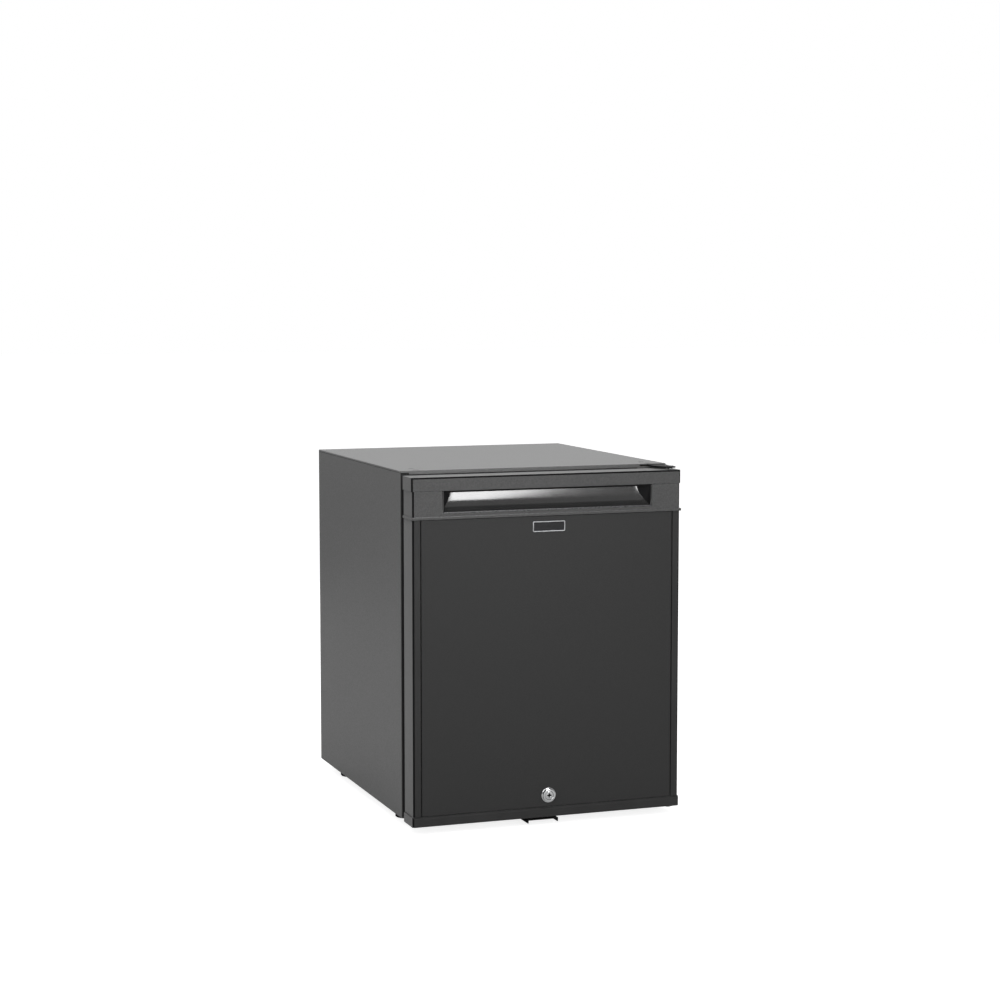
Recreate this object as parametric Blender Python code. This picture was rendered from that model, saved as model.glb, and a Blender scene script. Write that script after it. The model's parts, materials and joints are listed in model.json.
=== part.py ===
"""Minibar fridge: a small absorption cabinet with a solid locking door.

X points to the right, -Y to the front and Z up. The origin is on the floor, under the middle of the
fridge. The door turns about a vertical pin near its right edge.
"""
import math

import bmesh
import bpy
from mathutils import Matrix, Vector

MM = 0.001

# Clearances
GAP = 0.3 * MM
OVERSHOOT = 4 * MM
WELD = 0.01 * MM

# Cabinet
CABINET_WIDTH = 401 * MM
CABINET_HEIGHT = 489 * MM
CABINET_DEPTH = 426 * MM
SHEET = 1 * MM
FRONT_FLANGE = 16 * MM
REAR_LIP = 12 * MM
LINER = 2 * MM
SIDE_WALL = 30 * MM
TOP_WALL = 38 * MM
BASE_WALL = 34 * MM
REAR_WALL = 44 * MM
UNIT_SPACE = 96 * MM
VENT_LENGTH = 56 * MM
VENT_WIDTH = 7 * MM
VENT_PITCH = 12 * MM
VENT_COUNT = 3

# Feet
FOOT_HEIGHT = 15 * MM
FOOT_RADIUS = 17 * MM
FOOT_TOP_RADIUS = 13 * MM
FOOT_SIDE = 4 * MM
FOOT_BEVEL = 1 * MM
FOOT_SETBACK = 70 * MM
FOOT_INSET = 30 * MM

# Door
DOOR_OVERHANG = 0.5 * MM
DOOR_THICKNESS = 40 * MM
DOOR_GAP = 12 * MM
DOOR_DROP = 2 * MM
DOOR_STEP = 5.5 * MM
MOULDING = 2.2 * MM
EDGE_CHAMFER = 2.4 * MM
STRIP_INSET = 1.4 * MM
STRIP_WIDTH = 12 * MM
CAP_HEIGHT = 19 * MM
BAND_HEIGHT = 39.2 * MM
BEAD_HEIGHT = 3.6 * MM
BEAD_PROUD = 1.4 * MM
RAIL_HEIGHT = 14 * MM
RAIL_PROUD = 1 * MM
PANEL_SINK = 0.4 * MM
PANEL_THICKNESS = 2.1 * MM
SEAM = 0.6 * MM

# Handle
OPENING_WIDTH = 309.6 * MM
OPENING_HEIGHT = 30 * MM
SCOOP_DEPTH = 17 * MM
SCOOP_SLANT = 15 * MM
SCOOP_WALL = 1.5 * MM
SCOOP_SINK = 0.3 * MM
HOOK_HEIGHT = 12 * MM
SCOOP_STEPS = 8

# Plate under the handle
PLATE_WIDTH = 48 * MM
PLATE_HEIGHT = 14.5 * MM
PLATE_THICKNESS = 0.8 * MM
PLATE_DROP = 7.7 * MM

# Gasket
GASKET_INSET = 11.5 * MM
GASKET_WIDTH = 10 * MM
GASKET_WAIST = 3 * MM

# Hinges
HINGE_INSET = 11 * MM
HINGE_SETBACK = 14 * MM
HINGE_PLATE = 1.8 * MM
HINGE_EAR = 8 * MM
HINGE_WIDTH = 38 * MM
HINGE_LENGTH = 46 * MM
HINGE_NECK = 1 * MM
HINGE_TONGUE = 3 * MM
PIN_RADIUS = 3 * MM
PIN_LENGTH = 14 * MM
PIN_HEAD = 0.9 * MM
PIN_FLANGE = 1.5 * MM
PIN_BEVEL = 1 * MM
BUSH_WALL = 2 * MM
BUSH_DEPTH = 16 * MM
SCREW_INSET = 15 * MM
SCREW_SETBACKS = (9 * MM, 31 * MM)
SCREW_RADIUS = 2 * MM
SCREW_HEAD = 4 * MM
SCREW_HEAD_HEIGHT = 2 * MM
SCREW_RIM = 0.4 * MM
SCREW_LENGTH = 9 * MM
SCREW_SINK = 0.1 * MM
STUD_SINK = 0.2 * MM
INSERT_MARGIN = 1 * MM

# Lock
LOCK_HEIGHT = 31 * MM
LOCK_PROUD = 4 * MM
LOCK_HEAD = 11 * MM
LOCK_BEVEL = 1.2 * MM
BARREL_RADIUS = 8.7 * MM
BARREL_DEPTH = 24 * MM
PLUG_RADIUS = 6 * MM
PLUG_SINK = 0.5 * MM
KEYWAY_REACH = 3.6 * MM
KEYWAY_WAIST = 1.2 * MM
KEYWAY_DEPTH = 4 * MM
TAIL_HALF = 3 * MM
TAIL_LENGTH = 8 * MM
TAIL_ROOT = 1 * MM
CAM_WIDTH = 8 * MM
CAM_THICKNESS = 2 * MM
CAM_HUB = 7 * MM
CAM_SETBACK = 2 * MM
CAM_HOLD = 2.5 * MM
NUT_ACROSS = 12.5 * MM
NUT_THICKNESS = 4 * MM
POCKET_CLEARANCE = 4 * MM
SLOT_CLEARANCE = 3 * MM

# Strike bracket under the lock
STRIKE_WIDTH = 46 * MM
STRIKE_OFFSET = 8 * MM
STRIKE_DROP = 2.5 * MM
STRIKE_SHEET = 1.5 * MM
STRIKE_FLANGE = 5.5 * MM
STRIKE_TAIL = 44 * MM
RISER_SETBACK = 4 * MM

# Door liner and racks
RIB_WIDTH = 14 * MM
RIB_DEPTH = 34 * MM
RIB_CLEARANCE = 18.5 * MM
RIB_END_CLEARANCE = 14 * MM
RACK_DEPTH = 58 * MM
RACK_WALL = 2 * MM
RACK_HEIGHT = 42 * MM
RACK_LEVELS = (6 * MM, 140 * MM, 268 * MM)
LUG_DEPTH = 24 * MM
LUG_HEIGHT = 5 * MM
LUG_SETBACK = 3 * MM

# Door switch
PAD_REACH = 6 * MM
PAD_HEIGHT = 6 * MM
PAD_WIDTH = 14 * MM
SWITCH_X = 120 * MM
PLUNGER_RADIUS = 2.2 * MM
PLUNGER_STEM = 18 * MM
SWITCH_WALL = 1.6 * MM
PLUNGER_BEVEL = 1 * MM

# Shelves
SHELF_SHARES = (0.283, 0.58)
SHELF_FRAME_RADIUS = 3 * MM
SHELF_WIRE_RADIUS = 1.7 * MM
SHELF_WIRES = 13
SHELF_SETBACK = 66 * MM
SHELF_SIDE_CLEARANCE = 1.5 * MM
LEDGE_DEPTH = 7 * MM
LEDGE_HEIGHT = 9 * MM

# Evaporator
TUBE_RADIUS = 6 * MM
TUBE_BEND = 9 * MM
TUBE_CLEARANCE = 1 * MM
EVAPORATOR_DROP = 42 * MM
EVAPORATOR_PITCH = 28 * MM
EVAPORATOR_REACH = 95 * MM
EVAPORATOR_ENTRY = 20 * MM
FIN_PLATE_HALF = 104 * MM
FIN_PLATE_HEIGHT = 70 * MM
FIN_PLATE = 3 * MM
FIN_DEPTH = 22 * MM
FIN_THICKNESS = 2 * MM
FIN_COUNT = 15
POST_HALF = 5 * MM
TRAY_HALF = 112 * MM
TRAY_DEPTH = 52 * MM
TRAY_HEIGHT = 16 * MM
TRAY_WALL = 1.6 * MM
TRAY_DROP = 14 * MM
DRAIN_RADIUS = 5 * MM
DRAIN_WALL = 1 * MM
DRAIN_STANDOFF = 5 * MM
DRAIN_BEND = 9 * MM
DRAIN_END = 4 * MM
DRAIN_X = -80 * MM

# Thermostat and lamp
HOUSING_WIDTH = 28 * MM
HOUSING_LENGTH = 110 * MM
HOUSING_HEIGHT = 52 * MM
HOUSING_DROP = 12 * MM
HOUSING_SETBACK = 92 * MM
HOUSING_WALL = 2 * MM
HOUSING_BEVEL = 3 * MM
KNOB_RADIUS = 15 * MM
KNOB_HEIGHT = 11 * MM
KNOB_RIM = 2.5 * MM
KNOB_FLUTES = 12
FLUTE_DEPTH = 1 * MM
POINTER_HALF = 0.8 * MM
POINTER_PROUD = 1 * MM
POINTER_INSET = 2 * MM
SHAFT_RADIUS = 3 * MM
SHAFT_END = 8 * MM
LENS_LENGTH = 44 * MM
LENS_HEIGHT = 32 * MM
LENS_THICKNESS = 2.4 * MM
LENS_BULGE = 5 * MM
LENS_SETBACK = 6 * MM

# Cooling unit
UNIT_STANDOFF = 44 * MM
BOILER_INSET = 82 * MM
BOILER_RADIUS = 33 * MM
BOILER_BOTTOM = 58 * MM
BOILER_LENGTH = 220 * MM
BOILER_BEVEL = 3 * MM
RECTIFIER_RADIUS = 8 * MM
CONDENSER_DROP = 48 * MM
CONDENSER_FALL = 8 * MM
CONDENSER_LEFT = 118 * MM
CONDENSER_SETBACK = 10 * MM
COOLING_FIN_COUNT = 14
COOLING_FIN_HALF = 26 * MM
COOLING_FIN_THICKNESS = 1 * MM
COOLING_FIN_PITCH = 13 * MM
COIL_LEFT = 130 * MM
COIL_RIGHT = 50 * MM
COIL_PITCH = 40 * MM
COIL_RUNS = 4
COIL_BEND = 17 * MM
COIL_DROP = 160 * MM
VESSEL_RADIUS = 28 * MM
VESSEL_LEFT = 158 * MM
VESSEL_RIGHT = 46 * MM
VESSEL_HEIGHT = 68 * MM
EXCHANGER_RADIUS = 7 * MM
EXCHANGER_DROP = 26 * MM
STRAP_SHEET = 1.5 * MM
STRAP_WIDTH = 14 * MM
STRAP_FOOT = 12 * MM
BRACKET_SHEET = 2.5 * MM
BRACKET_SPINE = 12 * MM
BRACKET_LIP = 5 * MM
HOLD_CLEARANCE = 0.9 * MM
BRACKET_XS = (-95.5 * MM, 8.5 * MM)

# Electrics at the rear
BOX_WIDTH = 38 * MM
BOX_HEIGHT = 92 * MM
BOX_DEPTH = 56 * MM
BOX_WALL = 2 * MM
BOX_BOTTOM = 34 * MM
BOX_BEVEL = 2 * MM
BOX_INSET = 2 * MM
INLET_WIDTH = 26 * MM
INLET_HEIGHT = 20 * MM
INLET_DEPTH = 18 * MM
INLET_PROUD = 3 * MM
INLET_RISE = 12 * MM
INLET_FLANGE = 2 * MM
INLET_RIM = 2.5 * MM
PRONG_HALF = 1.2 * MM
PRONG_REACH = 2 * MM
PRONG_SINK = 4 * MM
PRONG_PLACES = ((-6.5 * MM, -2 * MM), (0, 2.5 * MM), (6.5 * MM, -2 * MM))
LEAD_RADIUS = 3 * MM
LEAD_RISE = 70 * MM
LEAD_OFFSET = 12 * MM

# Condensate tray
CUP_LEFT = 110 * MM
CUP_RIGHT = 36 * MM
CUP_DEPTH = 76 * MM
CUP_HEIGHT = 24 * MM
CUP_WALL = 1.8 * MM
CUP_SETBACK = 4 * MM

# Main planes worked out from the sizes above
DEPTH = LOCK_PROUD + DOOR_THICKNESS + DOOR_GAP + CABINET_DEPTH
X_SIDE = CABINET_WIDTH / 2
X_CAVITY = X_SIDE - SIDE_WALL
X_DOOR = X_SIDE + DOOR_OVERHANG
X_STRIP = X_DOOR - STRIP_INSET
Y_DOOR = -DEPTH / 2 + LOCK_PROUD
Y_DOOR_BACK = Y_DOOR + DOOR_THICKNESS
Y_CABINET = Y_DOOR_BACK + DOOR_GAP
Y_REAR = Y_CABINET + CABINET_DEPTH
Y_PANEL = Y_REAR - UNIT_SPACE
Y_CAVITY = Y_PANEL - REAR_WALL
Z_BASE = FOOT_HEIGHT
Z_TOP = Z_BASE + CABINET_HEIGHT
Z_FLOOR = Z_BASE + BASE_WALL
Z_CEILING = Z_TOP - TOP_WALL
Z_DOOR = Z_BASE - DOOR_DROP
Z_DOOR_TOP = Z_TOP - DOOR_STEP
Z_CAP = Z_DOOR_TOP - CAP_HEIGHT
Z_BAND = Z_CAP - BAND_HEIGHT
Z_RAIL = Z_DOOR + RAIL_HEIGHT
Z_OPENING = Z_CAP - OPENING_HEIGHT
Z_LOCK = Z_DOOR + LOCK_HEIGHT
X_HINGE = X_DOOR - HINGE_INSET
Y_HINGE = Y_DOOR + HINGE_SETBACK
Y_UNIT = Y_PANEL + UNIT_STANDOFF
Y_CAM = Y_DOOR + BARREL_DEPTH + GAP + CAM_SETBACK
Y_LINER = Y_DOOR_BACK - LINER
X_RIB = X_CAVITY - RIB_CLEARANCE
X_RIB_INNER = X_RIB - RIB_WIDTH
Z_RIB = Z_FLOOR + RIB_END_CLEARANCE
Z_RIB_TOP = Z_CEILING - RIB_END_CLEARANCE
X_BOILER = X_SIDE - BOILER_INSET
Z_CONDENSER = Z_TOP - CONDENSER_DROP
Z_EVAPORATOR = Z_CEILING - EVAPORATOR_DROP
Z_STRIKE = Z_DOOR - STRIKE_DROP - STRIKE_SHEET
CAM_REACH = Z_LOCK - Z_STRIKE + CAM_HOLD
SHELF_LEVELS = [Z_FLOOR + share * (Z_CEILING - Z_FLOOR) for share in SHELF_SHARES]

# Colour, roughness and metallic value of each finish
FINISHES = {
    "painted_steel": ((0.060, 0.061, 0.064), 0.45, 0.4),
    "dark_moulding": ((0.030, 0.030, 0.032), 0.42, 0.0),
    "door_panel": ((0.028, 0.028, 0.030), 0.5, 0.3),
    "gloss_black": ((0.008, 0.008, 0.009), 0.08, 0.0),
    "black_steel": ((0.012, 0.012, 0.012), 0.5, 0.6),
    "black_rubber": ((0.010, 0.010, 0.010), 0.8, 0.0),
    "chrome": ((0.75, 0.75, 0.77), 0.12, 1.0),
    "zinc": ((0.45, 0.45, 0.46), 0.4, 1.0),
    "white_plastic": ((0.80, 0.80, 0.78), 0.4, 0.0),
    "foam": ((0.78, 0.70, 0.48), 0.9, 0.0),
    "aluminium": ((0.72, 0.73, 0.74), 0.35, 1.0),
    "black_tube": ((0.020, 0.020, 0.021), 0.5, 0.2),
    "grey_plastic": ((0.25, 0.25, 0.26), 0.5, 0.0),
}


def material(name):
    """Material of the named finish, made on first use."""
    found = bpy.data.materials.get(name)
    if found:
        return found
    colour, roughness, metallic = FINISHES[name]
    made = bpy.data.materials.new(name)
    made.use_nodes = True
    shader = made.node_tree.nodes["Principled BSDF"]
    shader.inputs["Base Color"].default_value = (*colour, 1)
    shader.inputs["Roughness"].default_value = roughness
    shader.inputs["Metallic"].default_value = metallic
    made.diffuse_color = (*colour, 1)
    return made


def add_part(name, shape, finish):
    """Visible object made from a bmesh."""
    bmesh.ops.recalc_face_normals(shape, faces=shape.faces)
    mesh = bpy.data.meshes.new(name)
    shape.to_mesh(mesh)
    shape.free()
    mesh.shade_smooth()
    mesh.set_sharp_from_angle(angle=math.radians(35))
    part = bpy.data.objects.new(name, mesh)
    part.data.materials.append(material(finish))
    bpy.context.scene.collection.objects.link(part)
    return part


def combine(target, shape, operation):
    """Boolean of a bmesh on a part, kept as a modifier with a hidden tool object."""
    bmesh.ops.recalc_face_normals(shape, faces=shape.faces)
    mesh = bpy.data.meshes.new(target.name + "_tool")
    shape.to_mesh(mesh)
    shape.free()
    tool = bpy.data.objects.new(mesh.name, mesh)
    tool.hide_render = True
    tool.display_type = "WIRE"
    tool.parent = target
    bpy.context.scene.collection.objects.link(tool)
    modifier = target.modifiers.new(operation.title(), "BOOLEAN")
    modifier.operation = operation
    modifier.solver = "EXACT"
    modifier.object = tool


def cut(target, shape):
    """Take a shape away from a part."""
    combine(target, shape, "DIFFERENCE")


def join(target, shape):
    """Add a shape to a part."""
    combine(target, shape, "UNION")


def block(low, high):
    """Box between two corners."""
    low = Vector(low)
    high = Vector(high)
    shape = bmesh.new()
    place = Matrix.Translation((low + high) / 2) @ Matrix.Diagonal(high - low).to_4x4()
    bmesh.ops.create_cube(shape, size=1, matrix=place)
    return shape


def lift(along, u, v, height):
    """Point of an outline drawn across the axis it is extruded along."""
    if along == "x":
        return Vector((height, u, v))
    if along == "y":
        return Vector((u, height, v))
    return Vector((u, v, height))


def prism(outline, along, start, end):
    """Outline extruded along an axis; its points are (y, z), (x, z) or (x, y)."""
    shape = bmesh.new()
    face = shape.faces.new([shape.verts.new(lift(along, u, v, start)) for u, v in outline])
    moved = bmesh.ops.extrude_face_region(shape, geom=[face])
    verts = [item for item in moved["geom"] if isinstance(item, bmesh.types.BMVert)]
    bmesh.ops.translate(shape, verts=verts, vec=lift(along, 0, 0, end - start))
    return shape


def rod(start, end, radius, sides=16, end_radius=None):
    """Cylinder or cone between two points."""
    start = Vector(start)
    end = Vector(end)
    turn = Vector((0, 0, 1)).rotation_difference(end - start).to_matrix().to_4x4()
    shape = bmesh.new()
    bmesh.ops.create_cone(
        shape, cap_ends=True, segments=sides, radius1=radius,
        radius2=radius if end_radius is None else end_radius, depth=(end - start).length,
        matrix=Matrix.Translation((start + end) / 2) @ turn)
    return shape


def turned(profile, base, direction, sides=24):
    """Solid of revolution; profile is a run of (radius, height) points from axis to axis."""
    shape = bmesh.new()
    verts = [shape.verts.new((radius, 0, height)) for radius, height in profile]
    edges = [shape.edges.new(pair) for pair in zip(verts, verts[1:])]
    if profile[0][0] > 0:
        edges.append(shape.edges.new((verts[-1], verts[0])))
    bmesh.ops.spin(shape, geom=verts + edges, axis=(0, 0, 1), cent=(0, 0, 0), angle=2 * math.pi,
                   steps=sides, use_merge=True)
    bmesh.ops.remove_doubles(shape, verts=shape.verts, dist=WELD)
    turn = Vector((0, 0, 1)).rotation_difference(Vector(direction)).to_matrix().to_4x4()
    bmesh.ops.transform(shape, matrix=Matrix.Translation(base) @ turn, verts=shape.verts)
    return shape


def arc(centre, radius, start, end, steps):
    """Points on a circle, with the angles in degrees."""
    turns = [math.radians(start + (end - start) * step / steps) for step in range(steps + 1)]
    return [(centre[0] + radius * math.cos(turn), centre[1] + radius * math.sin(turn)) for turn in turns]


def rounded(corners, radius, steps=4):
    """Route through the corners, with an arc in place of each inner corner."""
    corners = [Vector(corner) for corner in corners]
    route = [corners[0]]
    for before, corner, after in zip(corners, corners[1:], corners[2:]):
        inward = (corner - before).normalized()
        outward = (after - corner).normalized()
        turn = inward.angle(outward)
        centre = corner + (outward - inward).normalized() * radius / math.cos(turn / 2)
        arm = corner - inward * radius * math.tan(turn / 2) - centre
        axis = inward.cross(outward)
        for step in range(steps + 1):
            route.append(centre + Matrix.Rotation(turn * step / steps, 3, axis) @ arm)
    route.append(corners[-1])
    return route


def tube(route, radius):
    """Round tube along a route, with closed ends."""
    curve = bpy.data.curves.new("route", "CURVE")
    curve.dimensions = "3D"
    curve.bevel_depth = radius
    curve.bevel_resolution = 2
    curve.use_fill_caps = True
    spline = curve.splines.new("POLY")
    spline.points.add(len(route) - 1)
    for point, place in zip(spline.points, route):
        point.co = (*place, 1)
    holder = bpy.data.objects.new("route", curve)
    mesh = bpy.data.meshes.new_from_object(holder)
    shape = bmesh.new()
    shape.from_mesh(mesh)
    bmesh.ops.remove_doubles(shape, verts=shape.verts, dist=WELD)
    bpy.data.objects.remove(holder)
    bpy.data.curves.remove(curve)
    bpy.data.meshes.remove(mesh)
    return shape


def level_frame(half_width, front, back, section):
    """Level rectangular ring; section points are (inset from the outer edge, z)."""
    ends = {-1: front, 1: back}
    return closed_ring([[(side * (half_width - inset), ends[end] - end * inset, z) for inset, z in section]
                        for side, end in ((-1, -1), (1, -1), (1, 1), (-1, 1))])


def upright_frame(half_width, low, high, section):
    """Upright rectangular ring; section points are (inset from the outer edge, y)."""
    ends = {-1: low, 1: high}
    return closed_ring([[(side * (half_width - inset), y, ends[end] - end * inset) for inset, y in section]
                        for side, end in ((-1, -1), (1, -1), (1, 1), (-1, 1))])


def closed_ring(sections):
    """Skin through sections in turn and back to the first."""
    shape = bmesh.new()
    rings = [[shape.verts.new(place) for place in section] for section in sections]
    for ring, following in zip(rings, rings[1:] + rings[:1]):
        for index in range(len(ring)):
            after = (index + 1) % len(ring)
            shape.faces.new((ring[index], following[index], following[after], ring[after]))
    return shape


def chamfer(shape, chosen, width):
    """Flat chamfer on the edges for which the test is true at both ends."""
    edges = [edge for edge in shape.edges if all(chosen(vert.co) for vert in edge.verts)]
    bmesh.ops.bevel(shape, geom=edges, offset=width, segments=1, affect="EDGES")
    return shape


def near(value, target):
    """Whether two lengths are the same to within a weld."""
    return abs(value - target) < WELD


def add_axis(name, place, parent=None):
    """Empty that stands on a joint's axis."""
    empty = bpy.data.objects.new(name, None)
    empty.location = place
    bpy.context.scene.collection.objects.link(empty)
    if parent:
        hang(parent, [empty])
    return empty


def hang(axis, parts):
    """Parent parts to an axis without moving them."""
    for part in parts:
        part.parent = axis
        part.matrix_parent_inverse = Matrix.Translation(-axis.location)


def set_origin(part, place):
    """Move the origin of a part that has no modifiers, without moving its mesh."""
    part.data.transform(Matrix.Translation(-Vector(place)))
    part.location = place


def screw(head, direction, grow=0.0):
    """Countersunk screw with its flat head at a point; grow widens it into its own hole."""
    profile = [(0, -grow), (SCREW_HEAD + grow, -grow), (SCREW_HEAD + grow, SCREW_RIM),
               (SCREW_RADIUS + grow, SCREW_HEAD_HEIGHT), (SCREW_RADIUS + grow, SCREW_LENGTH + grow),
               (0, SCREW_LENGTH + grow)]
    return turned(profile, head, direction, 12)


def cabinet_shell():
    """Folded steel wrap, base pan and rear panel."""
    shape = block((-X_SIDE, Y_CABINET, Z_BASE), (X_SIDE, Y_REAR, Z_TOP))
    wrap = add_part("cabinet_wrap", shape, "painted_steel")
    cut(wrap, block((-X_SIDE + SHEET, Y_CABINET + SHEET, Z_BASE - OVERSHOOT),
                    (X_SIDE - SHEET, Y_REAR - SHEET, Z_TOP - SHEET)))
    front = FRONT_FLANGE
    cut(wrap, block((-X_SIDE + front, Y_CABINET - OVERSHOOT, Z_BASE - OVERSHOOT),
                    (X_SIDE - front, Y_CABINET + 2 * SHEET, Z_TOP - front)))
    cut(wrap, block((-X_SIDE + REAR_LIP, Y_REAR - 2 * SHEET, Z_BASE - OVERSHOOT),
                    (X_SIDE - REAR_LIP, Y_REAR + OVERSHOOT, Z_TOP - REAR_LIP)))
    for start, end in ((Y_CABINET - OVERSHOOT, Y_CABINET + 2 * SHEET),
                       (Y_REAR - 2 * SHEET, Y_REAR + OVERSHOOT)):
        cut(wrap, block((-X_SIDE + SHEET, start, Z_BASE - OVERSHOOT),
                        (X_SIDE - SHEET, end, Z_BASE + FRONT_FLANGE + GAP)))
    low, high = hinge_plate_levels()
    cut(wrap, block((X_HINGE - HINGE_WIDTH + HINGE_EAR - GAP, Y_CABINET - OVERSHOOT, low - GAP),
                    (X_HINGE + HINGE_EAR + GAP, Y_CABINET + 2 * SHEET, Z_TOP - SHEET)))
    for setback in SCREW_SETBACKS:
        cut(wrap, screw(hinge_screw(setback), (0, 0, -1), GAP))
        cut(wrap, spare_stud(-X_HINGE + SCREW_INSET, Y_CABINET + setback, Z_TOP, GAP))

    half = X_SIDE - SHEET - GAP
    pan = add_part("base_pan", block((-half, Y_CABINET, Z_BASE), (half, Y_REAR, Z_BASE + FRONT_FLANGE)),
                   "painted_steel")
    cut(pan, block((-half - OVERSHOOT, Y_CABINET + SHEET, Z_BASE + SHEET),
                   (half + OVERSHOOT, Y_REAR - SHEET, Z_BASE + FRONT_FLANGE + OVERSHOOT)))
    for x in vent_places():
        cut(pan, block((x - VENT_WIDTH / 2, Y_UNIT - VENT_LENGTH / 2, Z_BASE - OVERSHOOT),
                       (x + VENT_WIDTH / 2, Y_UNIT + VENT_LENGTH / 2, Z_BASE + SHEET + OVERSHOOT)))

    low = Z_BASE + SHEET + GAP
    high = Z_TOP - SHEET - GAP
    panel = add_part("rear_panel", block((-half, Y_PANEL - SHEET, low), (half, Y_PANEL, high)), "zinc")
    for shape in wall_passages():
        cut(panel, shape)


def vent_places():
    """X of each slot in the base pan, in two rows beside the condensate tray."""
    right = CUP_RIGHT + VENT_PITCH
    left = -CUP_LEFT - VENT_PITCH
    steps = [VENT_PITCH * index for index in range(VENT_COUNT)]
    return [right + step for step in steps] + [left - step for step in steps]


def hinge_plate_levels():
    """Underside and top of the upper hinge plate, which lies under the cabinet's top sheet."""
    return Z_TOP - SHEET - GAP - HINGE_PLATE, Z_TOP - SHEET - GAP


def hinge_screw(setback):
    """Middle of the head of the hinge screw at a setback."""
    return Vector((X_HINGE - SCREW_INSET, Y_CABINET + setback, Z_TOP - SCREW_SINK))


def spare_stud(x, y, top, grow):
    """Stud that fills a spare hinge hole, just below flush."""
    end = top - STUD_SINK + (OVERSHOOT if grow else 0)
    return rod((x, y, top - SCREW_LENGTH - grow), (x, y, end), SCREW_HEAD + grow, 12)


def spare_insert(grow):
    """Strip under the top sheet that carries the two studs on the side without a hinge."""
    x = -X_HINGE + SCREW_INSET
    half = SCREW_HEAD + INSERT_MARGIN + grow
    high = Z_TOP - SHEET - GAP
    return block((x - half, Y_CABINET + SCREW_SETBACKS[0] - half, high - SCREW_LENGTH - grow),
                 (x + half, Y_CABINET + SCREW_SETBACKS[1] + half, high + (OVERSHOOT if grow else 0)))


def wall_passages():
    """Holes through the rear panel, the insulation and the liner's back."""
    start = Y_CAVITY - OVERSHOOT
    end = Y_PANEL + OVERSHOOT
    holes = [rod((x, start, z), (x, end, z), TUBE_RADIUS + GAP) for x, z in evaporator_ends()]
    holes.append(rod((DRAIN_X, start, drain_level()), (DRAIN_X, end, drain_level()), DRAIN_RADIUS + GAP))
    return holes


def evaporator_ends():
    """X and Z at which the evaporator tube goes in and comes out again."""
    return ((-COIL_LEFT - EVAPORATOR_ENTRY, Z_EVAPORATOR), (-COIL_LEFT, Z_EVAPORATOR - EVAPORATOR_PITCH))


def drain_level():
    """Height of the drain tube where it leaves the drip tray."""
    return tray_top() - TRAY_HEIGHT + TRAY_WALL + DRAIN_RADIUS


def tray_top():
    """Height of the drip tray's rim."""
    return Z_EVAPORATOR - EVAPORATOR_PITCH / 2 - FIN_PLATE_HEIGHT / 2 - TRAY_DROP


def cabinet_lining():
    """Moulded liner with shelf ledges, and the insulation round it."""
    half = X_SIDE - FRONT_FLANGE - GAP
    flange = block((-half, Y_CABINET, Z_BASE + FRONT_FLANGE + GAP),
                   (half, Y_CABINET + LINER, Z_TOP - FRONT_FLANGE - GAP))
    liner = add_part("cabinet_liner", flange, "white_plastic")
    join(liner, tub(LINER, Y_CABINET + LINER / 2))
    outline = [(-X_CAVITY, Z_FLOOR), (X_CAVITY, Z_FLOOR)]
    for level in SHELF_LEVELS:
        outline += ledge(level)
    outline += [(X_CAVITY, Z_CEILING), (-X_CAVITY, Z_CEILING)]
    for level in reversed(SHELF_LEVELS):
        outline += [(-x, z) for x, z in reversed(ledge(level))]
    cut(liner, prism(outline, "y", Y_CABINET - OVERSHOOT, Y_CAVITY))
    cut(liner, switch_pocket(Y_CABINET - OVERSHOOT, Y_CABINET + 2 * LINER))
    for shape in wall_passages():
        cut(liner, shape)

    inner = SHEET + GAP
    foam = add_part("cabinet_insulation", block(
        (-X_SIDE + inner, Y_CABINET + LINER + GAP, Z_BASE + inner),
        (X_SIDE - inner, Y_PANEL - inner, Z_TOP - inner)), "foam")
    cut(foam, tub(LINER + GAP, Y_CABINET - OVERSHOOT))
    low, high = hinge_plate_levels()
    cut(foam, block((X_HINGE - HINGE_WIDTH + HINGE_EAR - GAP, Y_CABINET - OVERSHOOT, low - GAP),
                    (X_HINGE + HINGE_EAR + GAP, Y_CABINET + HINGE_LENGTH + GAP, Z_TOP)))
    for setback in SCREW_SETBACKS:
        cut(foam, screw(hinge_screw(setback), (0, 0, -1), GAP))
    cut(foam, spare_insert(GAP))
    cut(foam, switch_block(GAP))
    for shape in wall_passages():
        cut(foam, shape)


def tub(wall, front):
    """Outside of the liner's tub with a wall of the given thickness."""
    return block((-X_CAVITY - wall, front, Z_FLOOR - wall),
                 (X_CAVITY + wall, Y_CAVITY + wall, Z_CEILING + wall))


def ledge(top):
    """Right-hand shelf ledge in the cavity's outline, from below to above."""
    return [(X_CAVITY, top - LEDGE_HEIGHT), (X_CAVITY - LEDGE_DEPTH, top - LEDGE_HEIGHT / 2),
            (X_CAVITY - LEDGE_DEPTH, top), (X_CAVITY, top)]


def feet():
    """Four rubber feet under the base pan."""
    x = X_SIDE - FOOT_INSET
    top = FOOT_HEIGHT - GAP
    profile = [(0, 0), (FOOT_RADIUS - FOOT_BEVEL, 0), (FOOT_RADIUS, FOOT_BEVEL), (FOOT_RADIUS, FOOT_SIDE),
               (FOOT_TOP_RADIUS, top), (0, top)]
    for side, label in ((-1, "left"), (1, "right")):
        for y, end in ((Y_CABINET + FOOT_SETBACK, "front"), (Y_REAR - FOOT_SETBACK, "rear")):
            foot = turned(profile, (side * x, y, 0), (0, 0, 1), 20)
            add_part("foot_" + end + "_" + label, foot, "black_rubber")


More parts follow.
